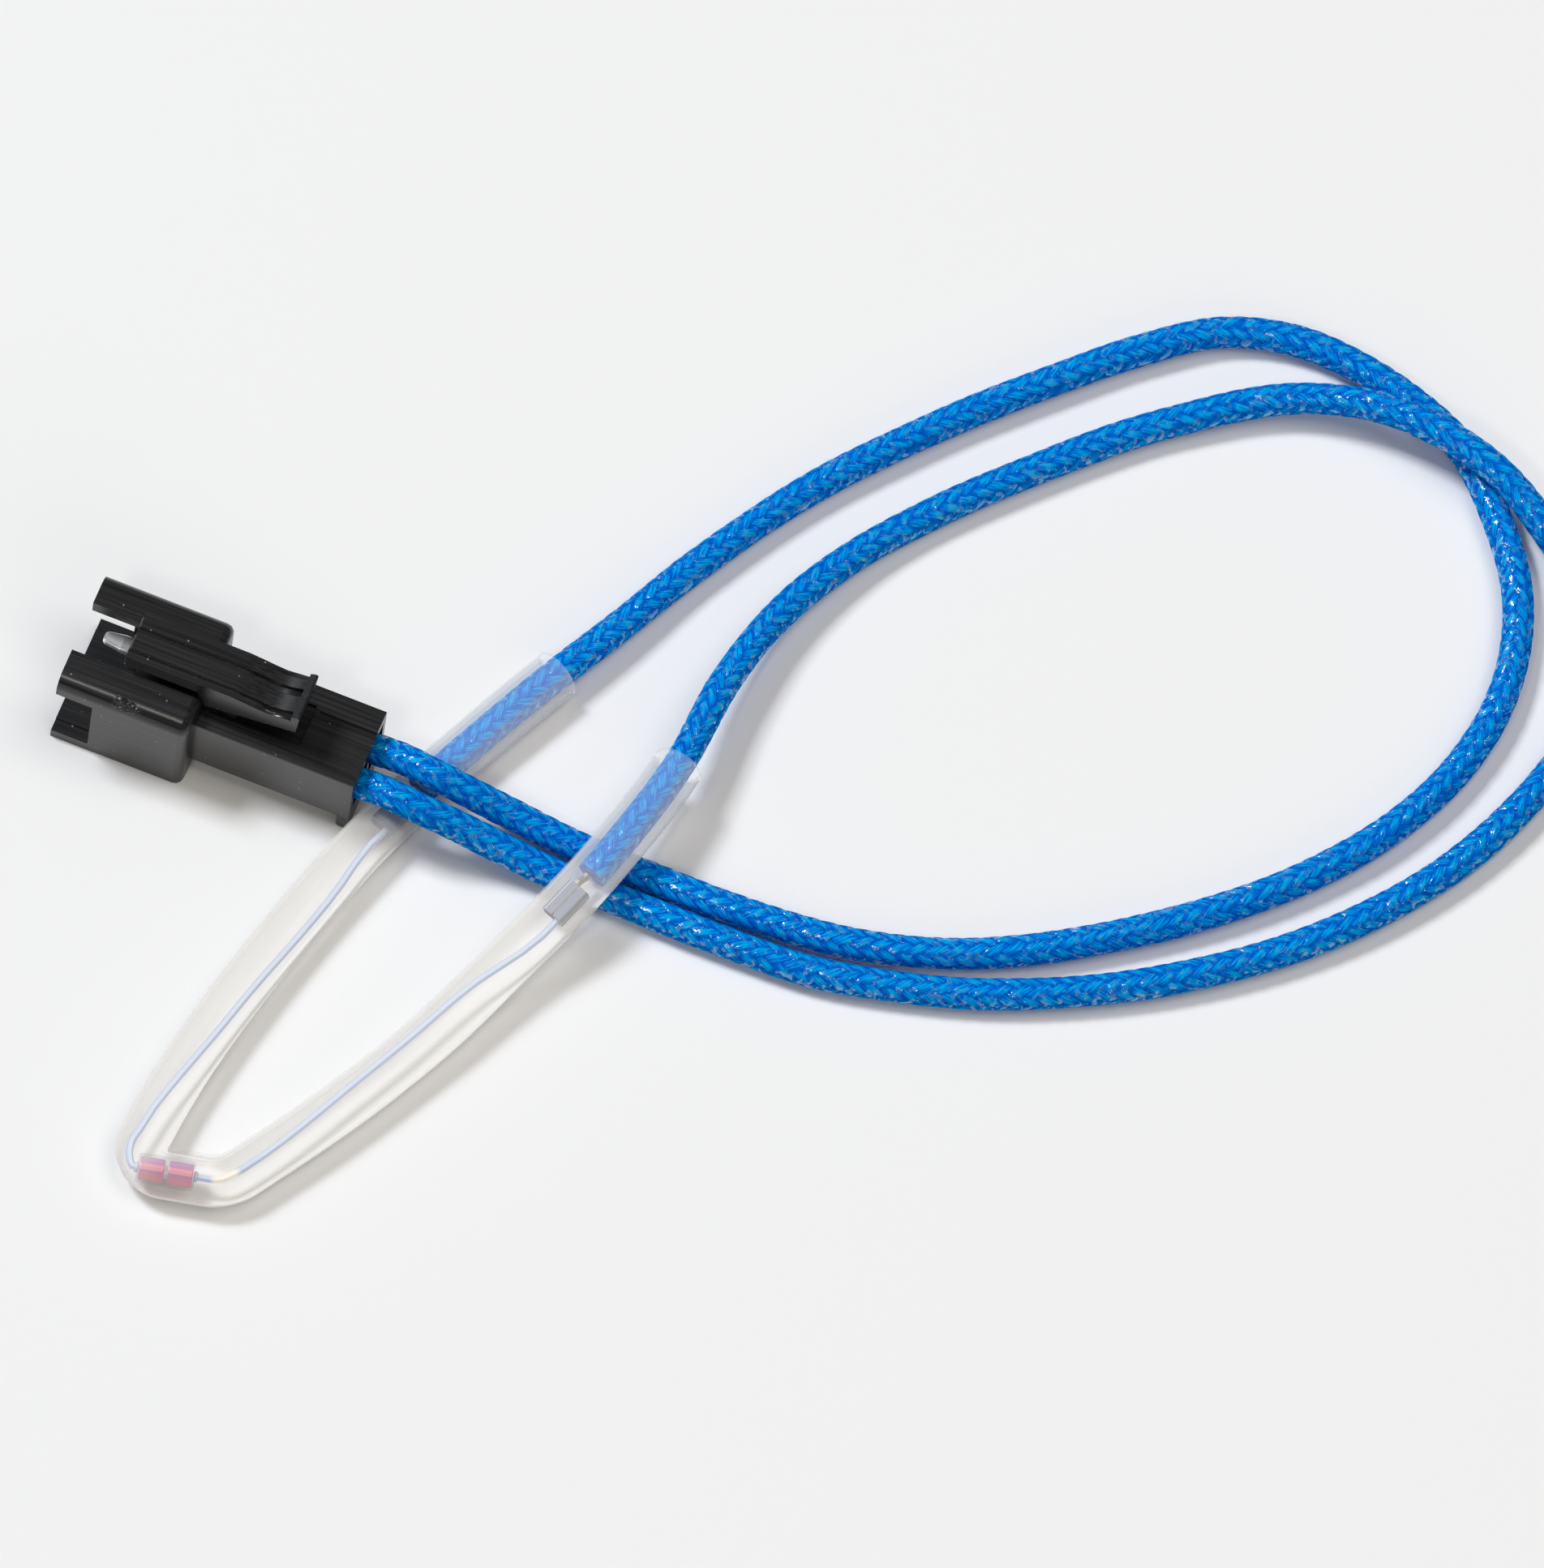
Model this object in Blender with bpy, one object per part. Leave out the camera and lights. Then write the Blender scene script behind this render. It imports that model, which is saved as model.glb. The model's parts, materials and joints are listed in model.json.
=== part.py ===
"""Leaded glass bead thermistor: a sealed glass body folded into one soft sleeve, two braided
leads spliced to it with small ferrules, and a latching two-way wire-to-wire housing.

The frame has its origin at the middle of the shroud's underside, +X from the mating end to
the cable end of the housing, and +Z up from the table that the part lies on.
Sizes are in millimetres and are turned into metres as each mesh is made.
"""

import math

import bmesh
import bpy
from mathutils import Matrix, Vector

MM = 0.001

# Housing, shroud end
SHROUD_LENGTH = 8.4
SHROUD_WIDTH = 8.1
SHROUD_HEIGHT = 7.25
SHROUD_EDGE_RADIUS = 1.05
SHROUD_REAR_ROUNDING = 0.55
FLOOR_THICKNESS = 0.9
ROOF_THICKNESS = 1.0
SIDE_THICKNESS = 0.8
PARTITION_THICKNESS = 1.2
PARTITION_SETBACK = 0.4
ROOF_SLOT_WIDTH = 3.4
NOTCH_LENGTH = 2.35
NOTCH_TOP = 5.6
NOTCH_SILL_STEP = 0.12

# Housing, wire end
BODY_LENGTH = 10.25
BODY_WIDTH = 5.5
BODY_BOTTOM = 1.2
BODY_HEIGHT = 4.55
BODY_EDGE_ROUNDING = 0.15
FOOT_LENGTH = 0.75
FOOT_ROUNDING = 0.25
TROUGH_START = 0.9
TROUGH_END = 6.3
TROUGH_WIDTH = 2.8
TROUGH_DEPTH = 0.3
TOP_GROOVE_START = 6.6
TOP_GROOVE_FROM_MIDDLE = 1.0
TOP_GROOVE_SIZE = 0.14

# Latch lever over the roof slot
LEVER_WIDTH = 3.2
LEVER_FRONT = 3.3
LEVER_LENGTH = 11.15
LEVER_BOTTOM = 7.75
LEVER_ARM_HEIGHT = 1.3
LEVER_EDGE = 0.12
LEVER_SAG = 0.35
LEVER_TIP_RISE = 0.25
LEVER_TIP_THICKNESS = 1.85
LEVER_HOOK_LENGTH = 0.7
LEVER_HOOK_DROP = 0.5
LEVER_HEEL_FROM_FRONT = 5.1
LEVER_HEEL_DROP = 1.35
LEVER_GROOVE_WIDTH = 0.55
LEVER_GROOVE_DEPTH = 0.3
LEVER_GROOVE_OFFSET = 0.2
LEVER_LEDGE_WIDTH = 0.45
LEVER_LEDGE_DEPTH = 0.25
LEVER_LIP_LENGTH = 0.5
LEVER_LIP_SAG = 0.3
PIVOT_FROM_HEEL = 0.1
PIVOT_LENGTH = 1.9
PIVOT_WIDTH = 2.0
# The dip in the lever's top: distance ahead of its end, and share of the sag
LEVER_SADDLE = [(4.4, 0.0), (3.6, 0.3), (2.7, 0.75), (1.9, 1.0), (1.2, 0.7), (0.65, 0.0)]

# Contacts
PITCH = 2.5
WIRE_HEIGHT = 3.4
PIN_HEIGHT = 4.4
PIN_WIDTH = 1.05
PIN_THICKNESS = 0.75
PIN_SETBACK = 1.1
PIN_NOSE = 0.16
PIN_TIP_TAPER = 1.2
PIN_HOLE_ROOM = 0.05
CONTACT_BOX_LENGTH = 4.0
CONTACT_BOX_WIDTH = 1.7
CONTACT_BOX_HEIGHT = 2.25
CONTACT_OVERLAP = 0.3
BARREL_FROM_JACKET = 0.35
BARREL_ROUNDING = 0.18
CONTACT_SHEET = 0.25
WIRE_BARREL_LENGTH = 1.7
CAVITY_WIDTH = 2.1
CAVITY_BOTTOM = 2.05
CAVITY_HEIGHT = 2.95
CONTACT_FLOOR_ROOM = 0.55

# Leads
LEAD_DIAMETER = 1.95
CONDUCTOR_DIAMETER = 0.64
LEAD_IN_HOUSING = 2.4
JACKET_IN_UPPER_SLEEVE = 11.6
JACKET_IN_LOWER_SLEEVE = 9.4
BARE_STRAND_LENGTH = 1.0
LEAD_POINT_SPACING = 2.25

# Sleeve and its fold
SLEEVE_DIAMETER = 3.15
SLEEVE_BORE = 2.45
SLEEVE_RING_SPACING = 2.6
SLEEVE_SIDES = 16
FOLD_RING_SPACING = 0.38
BEND_RING_SPACING = 0.6
FOLD_RADIUS = 1.625
FOLD_STRETCH = 0.13
FOLD_EASE = 0.8
OPENING_BEND_RADIUS = 3.0

# Glass bead, slugs and bead leads
GLASS_DIAMETER = 1.85
GLASS_LENGTH = 3.5
GLASS_END_ROUNDING = 0.28
SLUG_DIAMETER = 1.44
SLUG_LENGTH = 1.49
SLUG_ROUNDING = 0.08
CHIP_THICKNESS = 0.2
CHIP_SIDE = 0.62
BEAD_FROM_FOLD_CORNER = 2.25
BEAD_INWARD = 0.1
BEAD_LEAD_DIAMETER = 0.46
WELD_DIAMETER = 0.66
WELD_LENGTH = 0.25
WELD_ROUNDING = 0.1

# Splice ferrules
FERRULE_LENGTH = 2.4
FERRULE_HEIGHT = 0.98
FERRULE_SHEET = 0.15
FERRULE_SEAM = 0.1
FERRULE_GRIP = 0.75
LAST_LEAN_FROM_FERRULE = 3.5
BEND_PART_OF_WIRE = 3.0
BEND_WIRE_SPACING = 0.3
WIRE_SPACING = 1.6

# Clearances
SEAT_GAP = 0.05
FIT_GAP = 0.03
TABLE_GAP = 0.02

# The wire's way over the table, chosen by eye: out of the far cavity, round the outer loop and
# down the upper leg of the sleeve to the fold
UPPER_ROUTE = [
    (14.3, 1.25, 3.42), (16.3, 1.05, 3.95),
    (18.2, 0.68, 4.34), (20.3, 0.73, 3.7), (23.2, 1.05, 2.3), (26.6, 1.15, 1.3),
    (30.1, 1.1, 1.0), (37.5, 1.08, 1.0), (45.5, 1.87, 1.0), (51.1, 3.65, 1.0),
    (60.0, 9.0, 1.0), (64.4, 12.6, 1.0), (68.5, 16.8, 1.0), (71.9, 21.6, 1.0),
    (74.2, 26.9, 1.0), (75.0, 32.7, 1.0), (74.5, 36.4, 1.0), (73.3, 39.7, 1.0),
    (70.5, 43.7, 1.0), (66.4, 47.6, 1.0), (63.2, 49.0, 1.0), (59.1, 50.0, 1.0),
    (54.7, 50.1, 1.0), (50.7, 48.9, 1.0), (46.6, 45.8, 1.0), (42.8, 42.1, 1.0),
    (38.9, 38.0, 1.0), (35.8, 34.4, 1.0), (32.5, 30.2, 1.0), (27.1, 21.1, 1.1),
    (24.6, 15.7, 1.4),
]
UPPER_SLEEVE_ROUTE = [
    (22.4, 11.2, 1.6), (19.4, 4.7, 1.6), (16.0, -3.8, 1.6), (13.7, -11.9, 1.6),
    (12.1, -19.2, 1.6), (11.27, -25.2, 1.6),
]
FOLD_CORNER = (10.98, -29.6, 1.6)
OPENING_CORNER = (16.71, -28.28, 1.6)
# The lower leg of the sleeve crosses over both wires, and the second wire crosses over the
# first in a low hump before it comes back to the near cavity
LOWER_SLEEVE_ROUTE = [
    (19.87, -23.04, 1.6), (24.17, -14.72, 1.7), (27.26, -7.06, 2.5), (29.0, -2.9, 3.5),
    (30.2, 1.0, 3.87), (31.5, 7.5, 3.35),
]
LOWER_ROUTE = [
    (32.0, 14.6, 2.6), (33.0, 19.4, 2.0), (35.9, 26.0, 1.25), (38.6, 29.9, 1.0),
    (43.7, 35.8, 1.0), (50.0, 41.95, 1.05), (57.1, 46.45, 1.7), (61.1, 47.2, 2.5),
    (65.4, 46.9, 3.02), (69.6, 45.8, 2.97), (73.1, 44.0, 2.25), (76.7, 41.3, 1.3),
    (79.1, 37.5, 1.0), (80.1, 33.1, 1.0), (79.3, 28.4, 1.0), (78.6, 26.1, 1.0),
    (76.8, 21.8, 1.0), (73.0, 16.0, 1.0), (70.1, 12.7, 1.0), (65.0, 8.3, 1.0),
    (62.2, 6.3, 1.0), (57.1, 3.4, 1.0), (53.1, 1.6, 1.0), (48.3, 0.1, 1.0),
    (43.6, -0.92, 1.0), (38.4, -1.15, 1.0), (30.1, -1.1, 1.0), (26.6, -1.13, 1.25),
    (23.2, -1.22, 2.15), (20.4, -1.47, 3.32), (18.5, -1.7, 4.06), (17.0, -1.66, 4.3),
    (15.6, -1.44, 3.97), (14.1, -1.25, 3.45),
]

# How far each bead lead leans from the sleeve's middle, as a share of the free room: first
# value millimetres from the fold along the leg, second the lean, positive into the V.
UPPER_LEAN = [(-1.6, -0.85), (-1.1, -0.85), (-0.45, -0.7), (0.6, -0.5), (2.0, -0.4), (4.8, 0.0),
              (8.5, 0.42), (12.5, 0.62), (16.0, 0.8), (20.0, 0.8)]
LOWER_LEAN = [(-1.5, 0.05), (-0.4, 0.2), (1.5, 0.2), (4.5, 0.4), (8.5, 0.7), (14.0, 0.8),
              (18.5, 0.6)]

# Worked-out places
SHROUD_FRONT = -SHROUD_LENGTH / 2
SHROUD_REAR = SHROUD_LENGTH / 2
BODY_REAR = SHROUD_REAR + BODY_LENGTH
BODY_TOP = BODY_BOTTOM + BODY_HEIGHT
LEVER_START = SHROUD_FRONT + LEVER_FRONT
LEVER_END = LEVER_START + LEVER_LENGTH
CAVITY_CEILING = SHROUD_HEIGHT - ROOF_THICKNESS
PARTITION_REAR = SHROUD_REAR + PARTITION_SETBACK
PARTITION_FRONT = PARTITION_REAR - PARTITION_THICKNESS
PIN_TIP = SHROUD_FRONT + PIN_SETBACK
JACKET_END_X = BODY_REAR - LEAD_IN_HOUSING
BORE_ROOM = SLEEVE_BORE / 2 * math.cos(math.pi / SLEEVE_SIDES) - BEAD_LEAD_DIAMETER / 2 - FIT_GAP
BEAD_HALF_GAP = CHIP_THICKNESS / 2 + FIT_GAP

COLOURS = {
    "housing": ((0.018, 0.018, 0.019), 0.42, 0.0),
    "tin": ((0.72, 0.72, 0.70), 0.28, 1.0),
    "braid": ((0.008, 0.13, 0.62), 0.30, 0.0),
    "copper": ((0.78, 0.66, 0.52), 0.35, 1.0),
    "sleeve": ((0.86, 0.86, 0.84), 0.35, 0.0),
    "glass": ((0.90, 0.86, 0.84), 0.08, 0.0),
    "slug": ((0.62, 0.16, 0.15), 0.30, 0.6),
    "chip": ((0.78, 0.76, 0.72), 0.5, 0.0),
    "lead_wire": ((0.70, 0.69, 0.66), 0.25, 1.0),
}


def clear_scene():
    for existing in list(bpy.data.objects):
        bpy.data.objects.remove(existing, do_unlink=True)


def material(name):
    colour, roughness, metallic = COLOURS[name]
    found = bpy.data.materials.get(name) or bpy.data.materials.new(name)
    found.use_nodes = True
    shader = found.node_tree.nodes["Principled BSDF"]
    shader.inputs["Base Color"].default_value = (*colour, 1.0)
    shader.inputs["Roughness"].default_value = roughness
    shader.inputs["Metallic"].default_value = metallic
    return found


def add_object(name, data, colour=None):
    placed = bpy.data.objects.new(name, data)
    bpy.context.scene.collection.objects.link(placed)
    if colour:
        data.materials.append(material(colour))
    return placed


def mesh_from(bm, name, smooth_angle=None):
    """Turn a bmesh in millimetres into a mesh in metres."""
    bmesh.ops.recalc_face_normals(bm, faces=bm.faces)
    bmesh.ops.scale(bm, vec=(MM, MM, MM), verts=bm.verts)
    mesh = bpy.data.meshes.new(name)
    bm.to_mesh(mesh)
    bm.free()
    if smooth_angle:
        mesh.shade_smooth()
        mesh.set_sharp_from_angle(angle=math.radians(smooth_angle))
    return mesh


def prism(outline, start, end, axis):
    """Extrude a closed outline between two places on an axis: its own plane is the other two."""
    bm = bmesh.new()
    place = {"x": lambda a, b: (start, a, b), "y": lambda a, b: (a, start, b)}[axis]
    face = bm.faces.new([bm.verts.new(place(a, b)) for a, b in outline])
    grown = bmesh.ops.extrude_face_region(bm, geom=[face])
    moved = [item for item in grown["geom"] if isinstance(item, bmesh.types.BMVert)]
    step = (end - start, 0, 0) if axis == "x" else (0, end - start, 0)
    bmesh.ops.translate(bm, vec=step, verts=moved)
    bmesh.ops.recalc_face_normals(bm, faces=bm.faces)
    return bm


def box(low, high):
    bm = bmesh.new()
    bmesh.ops.create_cube(bm, size=1.0)
    size = [top - bottom for bottom, top in zip(low, high)]
    middle = [(top + bottom) / 2 for bottom, top in zip(low, high)]
    bmesh.ops.scale(bm, vec=size, verts=bm.verts)
    bmesh.ops.translate(bm, vec=middle, verts=bm.verts)
    return bm


def arc(centre, radius, start, end, steps):
    """Points on an arc in degrees, both ends included."""
    turns = [math.radians(start + (end - start) * i / steps) for i in range(steps + 1)]
    return [(centre[0] + radius * math.cos(t), centre[1] + radius * math.sin(t)) for t in turns]


def round_edges(bm, chosen, radius, segments):
    picked = [edge for edge in bm.edges if chosen(*(vert.co for vert in edge.verts))]
    bmesh.ops.bevel(bm, geom=picked, offset=radius, segments=segments, profile=0.5,
                    affect="EDGES", clamp_overlap=True)


def combine(target, tool_bm, name, operation):
    """Join or cut a target with a hidden tool shape through a Boolean modifier."""
    tool = add_object(name, mesh_from(tool_bm, name))
    tool.hide_render = True
    tool.display_type = "WIRE"
    step = target.modifiers.new(name, "BOOLEAN")
    step.operation = operation
    step.solver = "EXACT"
    step.object = tool


def join(target, tool_bm, name):
    combine(target, tool_bm, name, "UNION")


def cut(target, tool_bm, name):
    combine(target, tool_bm, name, "DIFFERENCE")


# Smooth line through chosen points

def smooth_line(controls, samples=12):
    """Points on a smooth curve through the controls; the first and last ones only steer it."""
    points = [Vector(control) for control in controls]
    tangents = [None]
    for before, here, after in zip(points, points[1:], points[2:]):
        back, ahead = (here - before).length, (after - here).length
        slope = (here - before) / back * ahead + (after - here) / ahead * back
        tangents.append(slope / (back + ahead))
    line = []
    for i in range(1, len(points) - 2):
        start, end = points[i], points[i + 1]
        span = (end - start).length
        for j in range(samples):
            t = j / samples
            line.append((2 * t**3 - 3 * t**2 + 1) * start + (t**3 - 2 * t**2 + t) * span * tangents[i]
                        + (3 * t**2 - 2 * t**3) * end + (t**3 - t**2) * span * tangents[i + 1])
    return line + [points[-2]]


def rounded_corner(before, corner, after, radius, steps):
    """Points on the arc that rounds a corner, from tangent point to tangent point."""
    corner = Vector(corner)
    arrive = (corner - Vector(before)).normalized()
    leave = (Vector(after) - corner).normalized()
    turn = arrive.angle(leave)
    reach = radius * math.tan(turn / 2)
    inward = (leave - arrive).normalized()
    centre = corner + inward * radius / math.cos(turn / 2)
    normal = arrive.cross(leave).normalized()
    start = corner - arrive * reach
    return [centre + Matrix.Rotation(turn * i / steps, 3, normal) @ (start - centre)
            for i in range(steps + 1)]


class Line:
    """A sampled line that can be read at any distance along it."""

    def __init__(self, points):
        self.points = points
        self.marks = [0.0]
        for before, after in zip(points, points[1:]):
            self.marks.append(self.marks[-1] + (after - before).length)
        self.length = self.marks[-1]

    def at(self, distance):
        distance = min(max(distance, 0.0), self.length)
        i = 0
        while self.marks[i + 1] < distance and i < len(self.points) - 2:
            i += 1
        share = (distance - self.marks[i]) / (self.marks[i + 1] - self.marks[i])
        return self.points[i].lerp(self.points[i + 1], share)

    def frame(self, distance, half_step=0.2):
        """Place, direction, left-hand side and upward side at a distance along the line."""
        ahead = self.at(distance + half_step) - self.at(distance - half_step)
        ahead.normalize()
        left = Vector((-ahead.y, ahead.x, 0)).normalized()
        return self.at(distance), ahead, left, ahead.cross(left)

    def beside(self, distance, left_offset):
        place, _, left, _ = self.frame(distance)
        return place + left * left_offset


def distance_at(line, target):
    """Distance along a line at which it passes a control point."""
    target = Vector(target)
    nearest = min(range(len(line.points)), key=lambda i: (line.points[i] - target).length)
    return line.marks[nearest]


def cavity_points(side):
    """End of a jacket in its cavity, and a point before it that only steers the curve."""
    return [(JACKET_END_X - back, side * PITCH / 2, WIRE_HEIGHT)
            for back in (LEAD_IN_HOUSING, 0)]


def thread():
    """The whole line that the wires, the sleeve and the bead follow."""
    fold = rounded_corner(UPPER_SLEEVE_ROUTE[-1], FOLD_CORNER, OPENING_CORNER, FOLD_RADIUS, 9)
    bend = rounded_corner(FOLD_CORNER, OPENING_CORNER, LOWER_SLEEVE_ROUTE[0],
                          OPENING_BEND_RADIUS, 5)
    upper = smooth_line(cavity_points(1) + UPPER_ROUTE + UPPER_SLEEVE_ROUTE
                        + [fold[0], FOLD_CORNER])
    lower = smooth_line([OPENING_CORNER, bend[-1]] + LOWER_SLEEVE_ROUTE + LOWER_ROUTE
                        + cavity_points(-1)[::-1])
    return Line(upper[:-1] + fold + bend + lower[1:])


THREAD = thread()
SLEEVE_START = distance_at(THREAD, UPPER_SLEEVE_ROUTE[0])
SLEEVE_END = distance_at(THREAD, LOWER_SLEEVE_ROUTE[-1])
FOLD_START, FOLD_END = (distance_at(THREAD, point) for point in rounded_corner(
    UPPER_SLEEVE_ROUTE[-1], FOLD_CORNER, OPENING_CORNER, FOLD_RADIUS, 1))
BEND_END = distance_at(THREAD, rounded_corner(
    FOLD_CORNER, OPENING_CORNER, LOWER_SLEEVE_ROUTE[0], OPENING_BEND_RADIUS, 1)[-1])
JACKET_END_1 = SLEEVE_START + JACKET_IN_UPPER_SLEEVE
JACKET_END_2 = SLEEVE_END - JACKET_IN_LOWER_SLEEVE


# Pieces that follow the line

def tube_along(name, points, diameter, colour, resolution=2):
    """A round wire or cord as a poly curve with filled ends."""
    curve = bpy.data.curves.new(name, "CURVE")
    curve.dimensions = "3D"
    curve.bevel_depth = diameter / 2 * MM
    curve.bevel_resolution = resolution
    curve.use_fill_caps = True
    spline = curve.splines.new("POLY")
    spline.points.add(len(points) - 1)
    for spot, place in zip(spline.points, points):
        spot.co = (*(place * MM), 1.0)
    return add_object(name, curve, colour)


def stations(start, end, spacing):
    count = max(2, round(abs(end - start) / spacing))
    return [start + (end - start) * i / count for i in range(count + 1)]


def on_table(point):
    """Keep a lead's middle no lower than where the lead lies on the table."""
    return Vector((point.x, point.y, max(point.z, LEAD_DIAMETER / 2 + TABLE_GAP)))


def add_leads():
    for name, start, end in (("lead_1", 0.0, JACKET_END_1),
                             ("lead_2", THREAD.length, JACKET_END_2)):
        points = [on_table(THREAD.at(s)) for s in stations(start, end, LEAD_POINT_SPACING)]
        tube_along(name, points, LEAD_DIAMETER, "braid")


def add_sleeve():
    """One soft tube, open at both ends, folded back on itself round the bead."""
    marks = stations(SLEEVE_START, FOLD_START, SLEEVE_RING_SPACING)[:-1]
    marks += stations(FOLD_START, FOLD_END, FOLD_RING_SPACING)
    marks += stations(FOLD_END, BEND_END, BEND_RING_SPACING)[1:]
    marks += stations(BEND_END, SLEEVE_END, SLEEVE_RING_SPACING)[1:]
    bm = bmesh.new()
    walls = []
    turns = [2 * math.pi * i / SLEEVE_SIDES for i in range(SLEEVE_SIDES)]
    for radius, stretch in ((SLEEVE_DIAMETER / 2, 0), (SLEEVE_BORE / 2, FOLD_STRETCH)):
        rings = []
        for mark in marks:
            place, _, left, up = THREAD.frame(mark, half_step=0.1)
            # The wall is stretched thinner round the outside of the fold.
            into_fold = min(mark - FOLD_START, FOLD_END - mark) / FOLD_EASE
            extra = stretch * min(max(into_fold, 0), 1)
            reach = [radius + extra * max(-math.cos(t), 0) for t in turns]
            rings.append([bm.verts.new(place + left * r * math.cos(t) + up * r * math.sin(t))
                          for r, t in zip(reach, turns)])
        walls.append(rings)
    for rings in walls:
        for ring, following in zip(rings, rings[1:]):
            bridge(bm, ring, following)
    bridge(bm, walls[0][0], walls[1][0])
    bridge(bm, walls[0][-1], walls[1][-1])
    add_object("sleeve", mesh_from(bm, "sleeve", smooth_angle=50), "sleeve")


def bridge(bm, ring, following):
    for i, vert in enumerate(ring):
        j = (i + 1) % len(ring)
        bm.faces.new((vert, ring[j], following[j], following[i]))


# Glass bead at the fold

def bead_frame():
    """Matrix that puts the bead's own X axis on the straight stretch after the fold."""
    corner, ahead = Vector(FOLD_CORNER), Vector(OPENING_CORNER) - Vector(FOLD_CORNER)
    ahead.normalize()
    left = Vector((-ahead.y, ahead.x, 0))
    matrix = Matrix((ahead, left, Vector((0, 0, 1)))).transposed().to_4x4()
    matrix.translation = corner + ahead * BEAD_FROM_FOLD_CORNER + left * BEAD_INWARD
    return matrix


def turned(profile, matrix, sides):
    """Spin a closed profile of (along, radius) points about the bead's axis."""
    bm = bmesh.new()
    rings = []
    for i in range(sides):
        turn = 2 * math.pi * i / sides
        rings.append([bm.verts.new(matrix @ Vector((along, radius * math.cos(turn),
                                                    radius * math.sin(turn))))
                      for along, radius in profile])
    for ring, following in zip(rings, rings[1:] + rings[:1]):
        bridge(bm, ring, following)
    return bm


def rod(start, end, diameter, rounding, matrix, sides):
    """A solid round bar along the bead's axis, with rounded rims."""
    radius = diameter / 2
    low = arc((start + rounding, radius - rounding), rounding, 180, 90, 2)
    high = arc((end - rounding, radius - rounding), rounding, 90, 0, 2)
    bm = bmesh.new()
    rings = []
    for along, reach in low + high:
        turns = [2 * math.pi * i / sides for i in range(sides)]
        rings.append([bm.verts.new(matrix @ Vector((along, reach * math.cos(t), reach * math.sin(t))))
                      for t in turns])
    for ring, following in zip(rings, rings[1:]):
        bridge(bm, ring, following)
    bm.faces.new(rings[0])
    bm.faces.new(rings[-1])
    return bm


def add_bead():
    place = bead_frame()
    half, outer = GLASS_LENGTH / 2, GLASS_DIAMETER / 2
    inner = SLUG_DIAMETER / 2 + FIT_GAP
    shoulder = GLASS_END_ROUNDING
    end_radius = outer - inner
    squash = min(shoulder, end_radius * 0.95)
    left = [(-half + shoulder * (1 - math.cos(t)), outer - squash * (1 - math.sin(t)))
            for t in (math.radians(a) for a in (0, 30, 60, 90))]
    right = [(-along, radius) for along, radius in reversed(left)]
    profile = left + right + [(half, inner), (-half, inner)]
    add_object("glass_envelope", mesh_from(turned(profile, place, 24), "glass_envelope", 50), "glass")

    for name, side in (("slug_1", -1), ("slug_2", 1)):
        ends = sorted((side * BEAD_HALF_GAP, side * (BEAD_HALF_GAP + SLUG_LENGTH)))
        bm = rod(*ends, SLUG_DIAMETER, SLUG_ROUNDING, place, 24)
        add_object(name, mesh_from(bm, name, 50), "slug")

    chip = box((-CHIP_THICKNESS / 2, -CHIP_SIDE / 2, -CHIP_SIDE / 2),
               (CHIP_THICKNESS / 2, CHIP_SIDE / 2, CHIP_SIDE / 2))
    bmesh.ops.transform(chip, matrix=place, verts=chip.verts)
    add_object("thermistor_chip", mesh_from(chip, "thermistor_chip"), "chip")


def ferrule_frame(jacket, direction):
    """Matrix on the middle of a ferrule, its own X axis the way that the line runs."""
    middle = jacket - direction * (BARE_STRAND_LENGTH + FERRULE_LENGTH / 2)
    place, ahead, left, up = THREAD.frame(middle, half_step=FERRULE_LENGTH / 2)
    matrix = Matrix((ahead, left, up)).transposed().to_4x4()
    matrix.translation = place
    return matrix


def add_bead_leads():
    """Each lead is welded to its slug, turns out of the fold and ends in its ferrule."""
    place = bead_frame()
    slug_end = BEAD_HALF_GAP + SLUG_LENGTH + SEAT_GAP
    grip_offset = CONDUCTOR_DIAMETER / 2 + FIT_GAP
    for number, direction, jacket, zero, lean in (
            (1, -1, JACKET_END_1, FOLD_START, UPPER_LEAN),
            (2, 1, JACKET_END_2, BEND_END, LOWER_LEAN)):
        grip = ferrule_frame(jacket, direction)
        reach = abs(jacket - zero) - BARE_STRAND_LENGTH - FERRULE_LENGTH - LAST_LEAN_FROM_FERRULE
        root = place @ Vector((direction * (slug_end + WELD_LENGTH / 2), 0, 0))
        leaning = [THREAD.beside(zero + direction * along, BORE_ROOM * share)
                   for along, share in lean if along < reach]
        ending = [grip @ Vector((direction * along, -direction * grip_offset, 0))
                  for along in (-FERRULE_LENGTH, -FERRULE_LENGTH / 2,
                                FERRULE_LENGTH * (FERRULE_GRIP - 0.5))]
        route = [root] + leaning + ending
        steer = [route[0] * 2 - route[1]] + route + [route[-1] * 2 - route[-2]]
        line = Line(smooth_line(steer, samples=8))
        marks = stations(0, BEND_PART_OF_WIRE, BEND_WIRE_SPACING)[:-1]
        marks += stations(BEND_PART_OF_WIRE, line.length, WIRE_SPACING)
        name = "bead_lead_%d" % number
        wire = tube_along(name, [line.at(mark) for mark in marks], BEAD_LEAD_DIAMETER, "lead_wire",
                          resolution=1)
        weld = rod(*sorted((direction * slug_end, direction * (slug_end + WELD_LENGTH))),
                   WELD_DIAMETER, WELD_ROUNDING, place, 12)
        weld_wire(wire, weld, name)


def weld_wire(wire, weld, name):
    """Fuse the small weld at a lead's root to its wire, as one solid."""
    bpy.context.view_layer.update()
    depsgraph = bpy.context.evaluated_depsgraph_get()
    mesh = bpy.data.meshes.new_from_object(wire.evaluated_get(depsgraph))
    bpy.data.objects.remove(wire, do_unlink=True)
    mesh.materials.clear()
    solid = add_object(name, mesh, "lead_wire")
    join(solid, weld, name + "_weld")


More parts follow.
